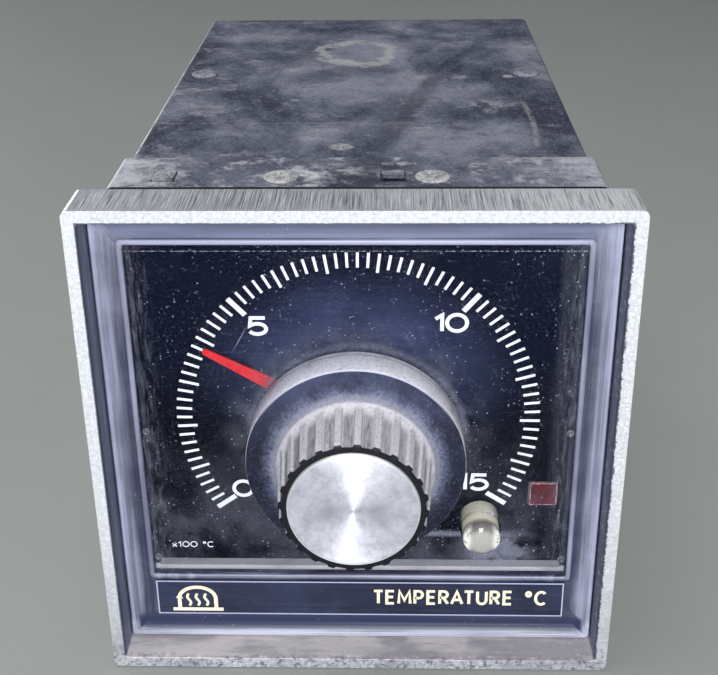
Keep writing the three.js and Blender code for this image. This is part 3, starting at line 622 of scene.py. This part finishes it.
def dial_finish():
    finish = Finish("dial print", {"Roughness": 0.5, "Specular IOR Level": 0.05})
    x, y, z = parts = finish.place(0, DIAL_Z)
    radius = from_axis(x, z)
    fine, large, cloud = dust_layers(finish, parts, 1.1)
    # Bluer towards the top, with a painted bluish glow above the knob.
    painted_glow = z.step(-6, 20) * radius.step(34, 18)
    scratch = line_mask(x, z, (-20.1, 19.0), (-22.7, 14.3), 0.09)
    finish.colour(
        0x070912, (z.step(-6, 18) * 0.6, 0x060C24), (painted_glow * (cloud.step(0.15, 0.75) * 0.7 + 0.3), 0x3A4262),
        (fine * 0.5, 0x7A8096), (large * 0.5, 0x82889E), (scratch * 0.7, 0xAAACB4))
    finish.bump(cloud, 0.02)
    return finish


def spacer_finish():
    finish = Finish("spacer grey plastic", {"Roughness": 0.7, "Specular IOR Level": 0.2})
    x, y, z = parts = finish.place()
    speckle = finish.noise(parts, 2.6, 6, 0.8)
    stain = finish.noise((x * 0.4, y, z), 0.3, 4)
    floor = z.step(-30.0, -30.5)
    pale = finish.paint(
        0xB6B4BA, (speckle.step(0.5, 0.72) * 0.5, 0xC8C6C8), (stain.step(0.45, 0.7) * 0.5, 0x868489))
    dark = finish.paint(0x202332, (speckle.step(0.54, 0.72), 0x686C7C))
    finish.colour(dark, (floor, pale))
    finish.bump(speckle, 0.03)
    return finish


def nameplate_finish():
    finish = Finish("nameplate print", {"Roughness": 0.34})
    x, y, z = parts = finish.place()
    fine, large, cloud = dust_layers(finish, parts, 0.9)
    wipes = finish.noise((x * 0.06, y, z * 1.4), 1.0, 4)
    finish.colour(
        0x171B32, (wipes.step(0.4, 0.8) * 0.25, 0x4A5276), (cloud.step(0.36, 0.66) * 0.22, 0x3E4C6E),
        (fine * 0.6, 0x969CB6), (large, 0xBEC2D0))
    finish.bump(wipes, 0.015)
    return finish


def print_finish(name, colour, worn):
    """Thick printing ink, a little uneven."""
    finish = Finish(name, {"Roughness": 0.55})
    parts = finish.place()
    patches = finish.noise(parts, 1.4, 5, 0.7)
    finish.colour(colour, (patches.step(0.5, 0.78) * 0.6, worn))
    finish.bump(patches, 0.01)
    return finish


def pointer_finish():
    finish = Finish("pointer red", {"Roughness": 0.5})
    parts = finish.place()
    patches = finish.noise(parts, 0.35, 5, 0.7)
    fine = finish.specks(parts, 1.6, 0.3, 5)
    finish.colour(0xCE121C, (patches.step(0.45, 0.7) * 0.8, 0xB60E18), (fine * 0.4, 0xD68288))
    finish.bump(patches, 0.02)
    return finish


def indicator_finish():
    """Deep red sheet with dust on it and a pale worn edge."""
    finish = Finish("indicator red", {"Roughness": 0.5})
    x, y, z = parts = finish.place()
    low, high = span("indicator_window")
    inset = (x - low.x).least(high.x - x).least(z - low.z).least(high.z - z)
    patches = finish.noise(parts, 0.5, 5, 0.7)
    grain = finish.noise(parts, 1.8, 6, 0.8)
    finish.colour(
        0x52000C, (patches.step(0.45, 0.65) * 0.8, 0x2C0008), (grain.step(0.58, 0.68) * 0.45, 0xAA5462),
        (inset.step(0.26, 0.16) * grain.step(0.42, 0.56) * 0.8, 0xCEAAB2))
    finish.bump(patches, 0.02)
    return finish


def knob_finish():
    """Dark plastic with dust in the flutes and round the root of the grip, and a pale side wall. Painted
    light and shade lie across the flutes and the side wall, painted light on the top of the skirt, and a
    painted highlight along its upper edge.
    """
    finish = Finish("knob plastic", {"Specular IOR Level": 0.22})
    x, y, z = parts = finish.place(0, DIAL_Z)
    radius = from_axis(x, z)
    cloud = finish.noise(parts, 0.16, 5, 0.65)
    grain = finish.noise(parts, 1.6, 8, 0.85)
    fine = finish.specks(parts, 2.3, 0.22, 5)
    lengthways = finish.noise((x, y * 0.1, z), 2.2, 6, 0.8)
    grip = y.step(-4.9, -5.5) * y.step(GRIP_END, GRIP_END + 0.45)
    rise = radius - (13.4 + (y + 4.8) * 0.072)   # from the grip's outer cone, below 0 in the flutes
    crest = rise.step(-0.34, -0.16)
    shoulder = rise.step(-0.44, -0.26) * (1 - crest)
    root = radius.step(15.4, 14.1) * (1 - grip) * y.step(-15, -14)
    halo = radius.step(17.4, 14.4) * grain.step(0.32, 0.62) * cloud.step(0.32, 0.58)
    wall = radius.step(SKIRT - 0.12, SKIRT - 0.06)
    # rim is a painted highlight along the top of the skirt's front edge.
    rim = radius.step(SKIRT - 0.34, SKIRT - 0.24) * (1 - wall) * z.step(8, 17)
    # The top of the skirt is lightened as painted light.
    navy = finish.paint(
        0x111526, (cloud.step(0.44, 0.8) * 0.5, 0x2C324C),
        (z.step(2, 19) * (cloud.step(0.3, 0.6) * 0.4 + 0.2), 0x484E6C),
        (grain.step(0.52, 0.64) * 0.55, 0x585E7A), (halo * 0.8, 0x7C829E), (root * 0.8, 0x868796),
        (root * grain.step(0.5, 0.38) * 0.7, 0x565662), (fine * 0.4, 0xA0A4BA), (rim * 0.8, 0xC8CEE2))
    # Across the flutes, painted light on the right and painted shade on the left; the crests and shoulders
    # are paler.
    flutes = finish.paint(
        0x86848D, (lengthways.step(0.46, 0.66), 0xB2B0B8), (lengthways.step(0.46, 0.32), 0x4A4952),
        (x.step(0, 11) * 0.35, 0xC4C2C9), (x.step(-3, -11) * 0.3, 0x464754), (crest * 0.8, 0xCECCD4),
        (crest * grain.step(0.5, 0.38) * 0.7, 0x807F88), (shoulder * 0.5, 0xDEDDE2),
        (grain.step(0.55, 0.68) * 0.6, 0xE4E3E8))
    # A darker band round the side wall near its rear.
    wall_dark_band = abs(y - 1.3).step(0.16, 0.06) * cloud.step(0.3, 0.5)
    # The side wall is paler towards the right as painted light.
    side = finish.paint(
        0xDEDDEA, (x.step(-6, 16) * 0.75, 0xEEECF2), (cloud.step(0.48, 0.36) * 0.6, 0x9C9BA8),
        (grain.step(0.5, 0.38) * 0.7, 0x8A8A98), (grain.step(0.54, 0.66) * 0.6, 0xECECF2),
        (wall_dark_band * 0.6, 0x686874))
    end = y.step(GRIP_END + 0.5, GRIP_END + 0.15)
    black = finish.paint(0x11121B, (fine * 0.6, 0x787880))
    finish.colour(navy, (grip, flutes), (wall, side), (end, black))
    finish.shade("Roughness", 0.55, (grip, 0.7), (wall, 0.6), (rim, 0.25), (end, 0.4))
    finish.bump(grain, 0.05)
    return finish


def cap_finish():
    """Spun aluminium: fine turning lines round the middle, which spread the light into two wedges. The sides
    carry painted shade and the rim is a painted highlight ring.
    """
    finish = Finish(
        "spun aluminium",
        {"Metallic": 0.7, "Roughness": 0.52, "Anisotropic": 0.66, "Anisotropic Rotation": 0.25})
    x, y, z = parts = finish.place(0, DIAL_Z)
    radius = from_axis(x, z)
    turning = finish.noise((radius, 0.0, 0.0), 5.5, 5, 0.8)
    cloud = finish.noise(parts, 0.34, 7, 0.8)
    # beside: painted shade on the left and right of the disc, and a painted highlight ring at its rim.
    beside = (abs(x) - abs(z) * 1.2).step(-0.5, 3.0)
    finish.colour(
        0xC4C5D1, (cloud.step(0.38, 0.66) * 0.8, 0xE4E5F0), (cloud.step(0.48, 0.36) * 0.4, 0xA8AAB6),
        (beside * radius.step(9.5, 2) * 0.5, 0x9699A8), (turning.step(0.5, 0.8) * 0.35, 0xB4B6C0),
        (radius.step(CAP_DISC - 0.45, CAP_DISC - 0.15), 0xECEEF2))
    finish.set("Tangent", finish.node("Tangent", {}, direction_type="RADIAL", axis="Y"))
    finish.bump(turning, 0.008)
    return finish


def lens_finish():
    """Milky towards the rear, clear at the dome, which is paler at its two sides as painted highlights."""
    finish = Finish("lamp lens", {"IOR": 1.4})
    x, y, z = parts = finish.place(LAMP_X, LAMP_Z)
    milky = y.step(5.6, 7.4)
    cloud = finish.noise(parts, 0.9, 5, 0.7)
    # sides: painted highlights on the dome's two sides.
    sides = abs(x).step(1.5, 2.9) * y.step(6.4, 5.4)
    tip = y.step(4.6, 4.0)
    finish.colour(
        0x949090, (milky, 0xE8E2CC), (cloud.step(0.5, 0.75) * 0.5, 0xC4C0B4), (tip * 0.8, 0xF0EEEA),
        (sides * cloud.step(0.35, 0.5), 0xFFFFFA))
    finish.shade("Transmission Weight", 0.55, (milky, 0.12), (sides, 0.1))
    finish.shade("Roughness", 0.08, (milky, 0.35))
    finish.bump(cloud, 0.03)
    return finish


# ---- Finishes of the case and of what is inside ----

def line_mask(x, y, start, end, half_width):
    """1 along a straight line between two points of a flat surface."""
    (x0, y0), (x1, y1) = start, end
    length = math.hypot(x1 - x0, y1 - y0)
    ux, uy = (x1 - x0) / length, (y1 - y0) / length
    along = (x - x0) * ux + (y - y0) * uy
    aside = abs((y - y0) * ux - (x - x0) * uy)
    return aside.step(half_width, half_width * 0.3) * along.step(-1, 2) * along.step(length + 1, length - 3)


def blot(x, y, cx, cy, radius_x, radius_y):
    """Distance from the middle of an oval, as a share of its radius."""
    return ((((x - cx) / radius_x) ** 2) + (((y - cy) / radius_y) ** 2)) ** 0.5


def sheet_finish(name, collar):
    """Blackened sheet metal with pale stains. The case's top has a broken ring of residue and scratches."""
    finish = Finish(name, {"Metallic": 0.3})
    x, y, z = parts = finish.place()
    clouds = finish.noise((x, y * 0.7, z), 0.038, 6, 0.68, 0.25)
    patches = finish.noise((x * 0.8, y, z), 0.12, 7, 0.75, 0.2)
    grain = finish.noise(parts, 1.7, 6, 0.8)
    flecks = finish.noise(parts, 0.42, 6, 0.75).step(0.66, 0.71)
    top = z.step(CASE_TOP - 0.5, CASE_TOP - 0.1)
    strong = top * 0.5 + 0.5
    colour = finish.paint(
        0x545A6C, (clouds.step(0.46, 0.64) * strong, 0x888B9A),
        (clouds.step(0.5, 0.38) * strong, 0x2A3048), (patches.step(0.54, 0.68) * strong * 0.7, 0xA4A5AE),
        (patches.step(0.46, 0.34) * strong * 0.6, 0x2E3244), (grain.step(0.52, 0.66) * 0.5, 0xB8B8C0),
        (grain.step(0.47, 0.35) * 0.5, 0x282C3C))
    if collar:
        level = abs(z).step(44.4, 45.0)
        ends = abs(x).step(28, 43) * level * patches.step(0.4, 0.58) * (grain.step(0.38, 0.6) * 0.5 + 0.5)
        middle = blot(x, y, -8, 24, 9, 7).step(1.2, 0.5) * patches.step(0.48, 0.62)
        smudge = blot(x, y, 1, 25, 6, 7).step(1.3, 0.5)
        pale = finish.noise(parts, 0.2, 6, 0.7).step(0.5, 0.66)
        beside = abs(x - TONGUES_X[0]).step(2.5, 2.3).most(abs(x - TONGUES_X[1]).step(2.4, 2.2))
        # Painted shade in the slits in front of the tongues.
        slit_shade = abs(y - TONGUE_SLIT_Y).step(0.34, 0.24) * beside * abs(z).step(45.95, 45.8)
        tongue = blot(x, y, 6.4, 24.4, 2.6, 2.2).step(1.3, 0.7)
        tongue = tongue.most(blot(x, y, -35, 24.4, 3.6, 3).step(1.3, 0.6))
        worn = (tongue * grain.step(0.4, 0.58)).most(x.step(0, -36) * level * patches.step(0.5, 0.64) * 0.7)
        colour = finish.paint(
            colour, (pale * (level * 0.4 + 0.4), 0xC6C7CF), (ends * 0.75, 0xCECED6),
            (smudge * 0.5, 0x3A3C48), (middle, 0xCECED2), (worn * 0.7, 0xD0CFD4), (flecks * 0.8, 0xDEDEE2),
            (x.step(16, 40) * level * patches.step(0.36, 0.6) * 0.4, 0xB6B7C0), (slit_shade, 0x08080C),
            (y.step(18.7, 18.35), 0x0C0D12))
    else:
        oval = blot(x, y, -2.4, 117.5, 9.9, 13.5) + (patches - 0.5) * 1.3
        broken = finish.noise(parts, 0.16, 6, 0.7).step(0.32, 0.48)
        ring = oval.step(0.68, 0.82) * oval.step(1.1, 0.96) * broken * (grain.step(0.3, 0.55) * 0.4 + 0.6)
        bend = x + ((y - 60) / 18) ** 2 * 1.1
        soft = finish.noise((x, y * 0.3, z), 0.8, 4)
        scratch = abs(bend - 35.6).step(0.9, 0.1) * y.step(41, 46) * y.step(82, 66) * soft.step(0.3, 0.6)
        fold = line_mask(x, y, (-43, 58.9), (12, 58.9), 0.35) * patches.step(0.36, 0.55)
        smear = blot(x, y, -3.5, 43.4, 2.6, 2.4).step(1.1, 0.6) * grain.step(0.42, 0.55)
        spot = blot(x, y, 33.5, 95.1, 1.4, 1.6).step(1.1, 0.6) * grain.step(0.36, 0.5)
        swipe = line_mask(x, y, (3, 40), (17, 96), 3.2) * patches.step(0.3, 0.6)
        marks = (ring * 0.75).most(scratch * 0.5).most(fold * 0.4).most(smear).most(spot * 0.8)
        colour = finish.paint(
            colour, (swipe * top * 0.6, 0x323646), (marks * top, 0xBAB8BA), (flecks * 0.35, 0xA0A0A4))
        worn = (abs(x).step(CASE_SIDE - 0.5, CASE_SIDE - 0.2) * abs(z).step(CASE_TOP - 0.9, CASE_TOP - 0.4)
                * grain.step(0.42, 0.58))
        colour = finish.paint(colour, (worn * 0.7, 0xB2B4BA))
    finish.colour(colour)
    finish.shade("Roughness", 0.5, (patches.step(0.4, 0.7), 0.68))
    finish.bump(grain * 0.6 + patches * 0.4, 0.06)
    return finish


def metal_finish(name, bright, dull, roughness):
    finish = Finish(name, {"Metallic": 0.85})
    parts = finish.place()
    patches = finish.noise(parts, 0.24, 5, 0.7)
    grain = finish.noise(parts, 3.2, 5, 0.75)
    finish.colour(bright, (patches.step(0.42, 0.72), dull))
    finish.shade("Roughness", roughness, (patches.step(0.4, 0.7), roughness + 0.2))
    finish.bump(grain, 0.02)
    return finish


def moulded_finish(name, colour, worn, roughness, metallic=0.0):
    """Plain moulded or varnished matter with a fine grain and a film of dust."""
    finish = Finish(name, {"Metallic": metallic})
    parts = finish.place()
    patches = finish.noise(parts, 0.2, 5, 0.65)
    grain = finish.noise(parts, 3.0, 5, 0.75)
    fine = finish.specks(parts, 1.5, 0.3, 6)
    finish.colour(colour, (patches.step(0.45, 0.75) * 0.6, worn), (fine * 0.35, 0xBEBEBE))
    finish.shade("Roughness", roughness, (patches.step(0.4, 0.7), min(roughness + 0.15, 1)))
    finish.bump(grain, 0.03)
    return finish


def screw_finish(name, colour, stain):
    """Dull metal with blotches of dried grime."""
    finish = Finish(name, {"Metallic": 0.2, "Roughness": 0.65})
    parts = finish.place()
    blotches = finish.noise(parts, 0.45, 6, 0.75)
    grain = finish.noise(parts, 2.2, 6, 0.8)
    finish.colour(
        colour, (blotches.step(0.44, 0.6) * 0.85, stain), (grain.step(0.54, 0.68) * 0.5, 0xCCCCD0),
        (grain.step(0.47, 0.36) * 0.5, 0x4E505C))
    finish.bump(grain, 0.05)
    return finish


def wound_finish():
    """Enamelled wire wound in close turns across the instrument."""
    finish = Finish("copper winding", {"Metallic": 0.6, "Roughness": 0.4})
    x, y, z = finish.place()
    turns = (x * 9).calc("SINE", x * 9)
    patches = finish.noise((x, y, z), 0.3, 4)
    finish.colour(0x8C4624, (turns.step(-1, 1), 0xC46E3E), (patches.step(0.5, 0.8) * 0.5, 0x602E1A))
    finish.bump(turns, 0.08)
    return finish


def relay_cover_finish():
    finish = Finish("clear relay cover", {"Base Color": 0xCDD0D6, "Roughness": 0.3})
    parts = finish.place()
    haze = finish.noise(parts, 0.3, 4).step(0.35, 0.75) * 0.18 + 0.12
    finish.show(finish.over_clear(haze, (0.94, 0.95, 0.96, 1)))
    return finish


# ---- Pieces of the front ----

def build_moulding():
    """Stepped surround: a thin rim, a cove down to the land, and a bead round the window."""
    rings = []

    def square(half, y, radius=0.6):
        rings.append(rounded_rectangle(half, -half, half, y, radius))

    pocket = (41, -31.95, 39.7)
    opening = (40, -31.05, 38.8)

    def around(base, out, y, radius):
        half_x, low, high = base
        rings.append(rounded_rectangle(half_x + out, low - out, high + out, y, radius))

    around(pocket, 0, 12.8, 0.3)
    square(42.7, 12.8)
    square(42.7, 10.0)
    square(45.35, 10.0)
    for half, y in (
            (45.38, 6.3), (45.28, 6.08), (45.05, 6.0), (44.82, 6.06), (44.72, 6.3), (44.6, 6.34),
            (44.48, 6.2), (44.3, 6.18), (44.15, 6.3)):
        square(half, y, 0.7)
    steps = 9
    for i in range(1, steps + 1):
        part = i / steps
        square(44.15 - 2.5 * part, 7.5 - 1.2 * (1 - part) ** 2.2, 0.7 + 0.3 * part)
    for out, y, radius in (
            (1.22, 7.5, 0.9), (1.15, 7.34, 0.85), (0.95, 7.1, 0.8), (0.7, 7.0, 0.7), (0.42, 7.02, 0.6),
            (0.2, 7.14, 0.5), (0.04, 7.4, 0.4), (0, 7.8, 0.4)):
        around(opening, out, y, radius)
    around(pocket, 0, 7.8, 0.3)
    piece = loft("bezel_surround", rings, True, 50)
    fit(piece, moulding_finish(), "case", "black_plastic", "bezel_moulding")


def build_window_pins(finish):
    """Heads of the pins that hold the window sheet at its sides."""
    front, rear, side = 7.72, 8.08, 39.15
    profile = [
        (0, front + 0.22), (0.3, front + 0.2), (0.45, front + 0.03), (0.6, front), (0.72, front + 0.05),
        (0.78, front + 0.16), (0.78, rear), (0, rear)]
    for level_name, z in (("upper", 1), ("lower", -27.5)):
        for side_name, x in (("left", -side), ("right", side)):
            pin = turned(f"window_pin_{side_name}_{level_name}", profile, 20, facing_front(x, z))
            fit(pin, finish, "case", "clear_plastic")


def on_dial(radius, degrees):
    """The point at that radius, degrees clockwise from straight up."""
    turn = math.radians(degrees)
    return radius * math.sin(turn), DIAL_Z + radius * math.cos(turn)


def build_scale(white):
    front = DIAL_FACE - 0.05
    outer = 34
    strokes = []
    for i in range(MARKS + 1):
        degrees = FIRST_MARK + SWEEP * i / MARKS
        start, width = (29.6, 0.95) if i % 25 == 0 else (30.3, 0.52) if i % 5 == 0 else (31.1, 0.5)
        strokes.append(([on_dial(start, degrees), on_dial(outer, degrees)], width, False))
    add_print("scale_marks", strokes, front, white, "dial_paint")
    for text, radius, degrees in (
            ("0", 27.3, -125.2), ("5", 26.5, -42.8), ("10", 26.4, 40.2), ("15", 26.1, 122.6)):
        x, z = on_dial(radius, degrees)
        numeral = lettering(text, x, z, 4.0, 0.175, 0.16, True)
        add_print("scale_numeral_" + text, numeral, front, white, "dial_paint")
    factor = lettering("x100 *C", -37.1, -28.3, 1.4, 0.13, 0.24)
    add_print("scale_factor", factor, front, white, "dial_paint")


def wave(x, low, high, sway):
    """A rising line that sways once to each side."""
    steps = 14
    return [
        (x + sway * math.sin(FULL_TURN * i / steps), low + (high - low) * i / steps)
        for i in range(steps + 1)]


def build_nameplate(cream):
    low, high = span("nameplate")
    front = low.y - 0.04
    inset = 0.18
    corners = [
        (-high.x + inset, low.z + inset), (high.x - inset, low.z + inset), (high.x - inset, high.z - inset),
        (-high.x + inset, high.z - inset)]
    # A pale line round the plate: a painted highlight for light on its chamfered edge.
    pale = print_finish("nameplate edge highlight", 0xA8B0CE, 0x70789C)
    add_print("nameplate_edge_highlight", [(corners + corners[:1], 0.26, True)], front, pale, "label", 0.08)
    words = lettering("TEMPERATURE *C", 2.9, -38.1, 3.6, 0.162, 0, width=33.6, narrow=0.68)
    add_print("nameplate_words", words, front, cream, "label")
    arch = [(-35.6, -39.3), (-35.6, -36.9)] + arc(-32.0, -36.9, 3.6, 2.7, 180, 0, 16) + [(-28.4, -39.3)]
    strokes = [(arch, 0.75, False), ([(-37.0, -39.6), (-27.0, -39.6)], 0.75, False)]
    strokes += [(wave(x, -38.7, -35.8, 0.32), 0.5, False) for x in (-33.7, -32.0, -30.3)]
    add_print("nameplate_pictogram", strokes, front, cream, "label")


def build_knob():
    """Skirt, root fillet and fluted grip in one mesh, with a bore behind and a recess for the cap."""
    def ring(radius, y, depth=0.0):
        points = []
        for i in range(FLUTES):
            for part, sunk in RIB:
                turn = FULL_TURN * (i + part + RIB_PHASE) / FLUTES
                reach = radius - depth * sunk
                points.append((reach * math.sin(turn), y, DIAL_Z + reach * math.cos(turn)))
        return points

    behind = [(3.2, 7.6), (5.5, 7.6), (5.5, 4.0), (5.9, 3.4), (16.6, 0.6), (18.2, 1.6), (18.7, 2.5)]
    skirt = [
        (SKIRT - 0.06, 2.5), (SKIRT, 2.36), (SKIRT, -3.55), (SKIRT - 0.05, -3.82), (SKIRT - 0.16, -3.98),
        (SKIRT - 0.36, -4.06), (SKIRT - 0.7, -4.08), (17.4, -4.16), (16.0, -4.3)]
    root = [(15.0, -4.52), (14.35, -4.8), (13.95, -5.12), (13.72, -5.5), (13.55, -5.9, 0.06)]
    rings = [ring(*level) for level in behind + skirt + root]
    grip_start, grip_end = -6.2, GRIP_END + 0.3   # of the fluted part, which the lip follows
    steps = 10
    for i in range(steps + 1):
        part = i / steps
        depth = 0.5 * min(1, 0.35 + part * 5)
        rings.append(ring(13.42 - 0.8 * part, grip_start + (grip_end - grip_start) * part, depth))
    seat = span("knob_cap")[1].y + 0.05
    lip = [(12.5, GRIP_END + 0.08, 0.42), (12.3, GRIP_END, 0.3), (CAP_DISC + 0.12, GRIP_END),
           (CAP_DISC + 0.06, GRIP_END + 0.1), (CAP_DISC + 0.06, CAP_FLANGE)]
    recess = [(11.58, CAP_FLANGE), (11.58, seat), (3.2, seat), (3.2, -13.5)]
    rings += [ring(*level) for level in lip + recess]
    piece = loft("setpoint_knob", rings, True, 32)
    fit(piece, knob_finish(), "setpoint", "knob_plastic", "knob")


def build_cap():
    """A disc that stands out of the knob, on a wider flange that the knob's lip holds down."""
    low, high = span("knob_cap")
    flange = CAP_FLANGE + 0.05
    rim = [(CAP_DISC - 0.45, 0.04), (CAP_DISC - 0.2, 0.13), (CAP_DISC - 0.05, 0.28), (CAP_DISC, 0.45)]
    profile = [(0, low.y), (3, low.y), (7, low.y), (CAP_DISC - 1, low.y + 0.01)]
    profile += [(reach, low.y + back) for reach, back in rim]
    profile += [(CAP_DISC, flange), (high.x, flange), (high.x, high.y), (0, high.y)]
    cap = turned("setpoint_cap", profile, 96, facing_front(0, DIAL_Z))
    fit(cap, cap_finish(), "setpoint", "silver_metal", "knob_cap")


def build_lamp():
    low, high = span("lamp_lens")
    radius, start, tip, back, wall = 3.55, 5.4, low.y, high.y, 0.8
    steps = 8

    def dome(reach, top, base):
        turns = [math.pi / 2 * i / steps for i in range(steps + 1)]
        return [(reach * math.sin(t), base - (base - top) * math.cos(t)) for t in turns]

    shell = dome(radius, tip, start) + [(radius, back), (radius - wall, back)]
    hollow = dome(radius - wall, tip + 1.1, start + 1.2)
    lens = turned("lamp_shell", shell + hollow[::-1], 40, facing_front(LAMP_X, LAMP_Z), 60)
    fit(lens, lens_finish(), "case", "lamp_lens", "lamp_lens")
    profile = dome(1.9, 6.9, 8.6) + [(1.9, 12.5), (1.2, 14.0), (0, 14.0)]
    bulb = turned("lamp_bulb", profile, 24, facing_front(LAMP_X, LAMP_Z))
    fit(bulb, moulded_finish("lamp glass", 0xBEBCB2, 0xDEDCD4, 0.18), "case", "lamp_lens")


# ---- Screws ----

def recess_radius(turn, length, half_width, crossed):
    """How far the outline of a slot, or of two crossed slots, lies from the middle."""
    flat = 1e-6
    cosine, sine = abs(math.cos(turn)) + flat, abs(math.sin(turn)) + flat
    along = min(length / cosine, half_width / sine)
    across = min(length / sine, half_width / cosine)
    return max(along, across) if crossed else along


def screw_head(name, profile, recess, place):
    """A turned head, from its foot up to the rim of its top, with a slot or a cross cut in the top."""
    segments = 64
    length, half_width, depth, crossed = recess
    turns = [FULL_TURN * (i + 0.5) / segments for i in range(segments)]
    rings = [
        [place(radius * math.cos(t), radius * math.sin(t), height) for t in turns]
        for radius, height in profile]
    top = profile[-1][1]
    for share, height in ((1, top), (0.86, top - depth)):
        reach = [recess_radius(t, length, half_width, crossed) * share for t in turns]
        rings.append([place(r * math.cos(t), r * math.sin(t), height) for r, t in zip(reach, turns)])
    return loft(name, rings, False, 35)


def build_case_screws():
    pale = screw_finish("collar screw metal", 0xBEBDBE, 0x808189)
    dull = screw_finish("case screw metal", 0x868994, 0x5C6070)
    for level_name, level in (("top", 1), ("bottom", -1)):
        for side_name, side in (("left", -1), ("right", 1)):
            place_name = f"{level_name}_{side_name}"

            def stand(x, y, level=level, side=side):
                return lambda u, v, height: (
                    side * x + u * 0.94 - v * 0.34, y + u * 0.34 + v * 0.94, level * height)

            base = COLLAR_TOP + 0.05
            head = [
                (1.1, base - 0.6), (1.1, base), (3.17, base), (3.2, base + 0.2), (3.05, base + 0.38),
                (2.6, base + 0.44)]
            collar_head = screw_head(
                "collar_head_" + place_name, head, (1.95, 0.36, 0.3, True), stand(13.7, 23.2))
            fit(collar_head, pale, "collar", "screw_metal", "collar_screw_" + place_name)
            base = CASE_TOP + 0.05
            head = [(1.2, base - 3.4), (1.2, base), (3.05, base), (3.1, base + 0.2), (2.85, base + 0.55),
                    (2.3, base + 0.76), (1.9, base + 0.82)]
            case_head = screw_head("case_head_" + place_name, head, (1.88, 0.36, 0.5, False), stand(38, 96.9))
            fit(case_head, dull, "case", "screw_metal", "case_screw_" + place_name)


def build_terminals():
    """Each terminal has a slotted brass screw over a square clamp plate, and a number moulded beside it."""
    brass = metal_finish("terminal brass", 0xC4A460, 0x927442, 0.35)
    plated = metal_finish("clamp plate", 0xBEBCB6, 0x8C8A86, 0.4)
    paint = print_finish("terminal numbers", 0xD6D6D0, 0x969692)
    floor = 158.8
    pitch = 12
    for i in range(6):
        x = (i - 2.5) * pitch
        low = floor + 0.04
        plate = loft(f"terminal_clamp_{i + 1}", [
            [(px + x, y, pz) for px, y, pz in rounded_rectangle(half, -half, half, y, 0.9, 5)]
            for half, y in ((3.7, low), (3.9, low + 0.15), (3.9, low + 0.65), (3.7, low + 0.8))])
        fit(plate, plated, "case", "steel")
        base = low + 0.84
        head = [
            (1.5, floor - 2.6), (1.5, base), (3.3, base), (3.4, base + 0.2), (3.3, base + 0.9),
            (2.7, base + 1.35), (2.25, base + 1.4)]

        def stand(u, v, height, x=x):
            return x + u * 0.5 - v * 0.87, height, u * 0.87 + v * 0.5

        screw = screw_head(f"terminal_head_{i + 1}", head, (2.2, 0.42, 0.8, False), stand)
        fit(screw, brass, "case", "brass", f"terminal_screw_{i + 1}")
        number = lettering(str(i + 1), -x, 7.6, 2.0, 0.17, 0.2, True)
        mirrored = [([(-px, pz) for px, pz in path], width, closed) for path, width, closed in number]
        add_print(f"terminal_number_{i + 1}", mirrored, floor, paint, "black_plastic", 0.06)


# ---- CAD pieces that keep their own shape ----

def dress_cad():
    """Finishes and rounded edges for the CAD pieces whose shape is right as it is."""
    black = moulded_finish("black moulding", 0x1E1F24, 0x3E3F46, 0.45)
    steel = metal_finish("plated steel", 0xAAACB0, 0x808288, 0.35)
    brass = metal_finish("turned brass", 0xBE9C58, 0x967640, 0.3)
    board = moulded_finish("circuit board", 0x2C5C38, 0x467046, 0.4)
    sleeve = moulded_finish("capacitor sleeve", 0x2C3E76, 0x425488, 0.35)
    copper = wound_finish()
    finishes = {
        "bezel_frame": (bezel_finish(), 0.3),
        "window": (window_finish(), 0),
        "dial_plate": (dial_finish(), 0),
        "dial_spacer": (spacer_finish(), 0.15),
        "indicator_window": (indicator_finish(), 0.12),
        "nameplate": (nameplate_finish(), 0.12),
        "pointer": (pointer_finish(), 0.12),
        "case_sleeve": (sheet_finish("case sheet", False), 0.2),
        "mounting_collar": (sheet_finish("collar sheet", True), 0.15),
        "rear_plate": (moulded_finish("rear plate", 0x4A4E5C, 0x70727C, 0.55, 0.35), 0.3),
        "relay_cover": (relay_cover_finish(), 0.3),
        "pot_track": (moulded_finish("carbon track", 0x222224, 0x343436, 0.6), 0.1),
        "pot_wafer": (moulded_finish("phenolic wafer", 0x7A5832, 0x5C4024, 0.7), 0.1),
        "transformer_core": (moulded_finish("laminations", 0x3A3C42, 0x544E4A, 0.5, 0.5), 0.3),
        "transformer_bobbin": (copper, 0.4),
        "relay_coil": (copper, 0.2),
        "calibration_trimmer": (sleeve, 0.2),
    }
    shared = (
        (black, 0.3, "terminal_block lamp_holder relay_base edge_connector_left edge_connector_right"),
        (board, 0.1, "control_board power_board"),
        (sleeve, 0.5, "filter_capacitor_upper filter_capacitor_lower"),
        (brass, 0.15, "setpoint_shaft pot_bushing pot_wiper"),
        (brass, 0.2, "board_spacer_front_left board_spacer_front_right"),
        (brass, 0.2, "board_spacer_rear_left board_spacer_rear_right"),
        (steel, 0.15, "knob_set_screw pot_nut pot_housing relay_yoke relay_armature"),
        (steel, 0.15, "chassis_front chassis_rail_left chassis_rail_right"),
    )
    for finish, width, names in shared:
        for name in names.split():
            finishes[name] = (finish, width)
    for name, (finish, width) in finishes.items():
        for slot in nodes[name].material_slots:
            slot.material = finish.material
        if width:
            soften(nodes[name], width)


add_camera()
add_studio()
add_floor()
dress_cad()
build_moulding()
build_window_pins(moulded_finish("pin plastic", 0x4E525E, 0xAAAEBA, 0.2))
build_scale(print_finish("scale white", 0xECF0F6, 0xCED4E0))
build_nameplate(print_finish("nameplate cream", 0xF0EACC, 0xD6CEAC))
build_knob()
build_cap()
build_lamp()
build_case_screws()
build_terminals()
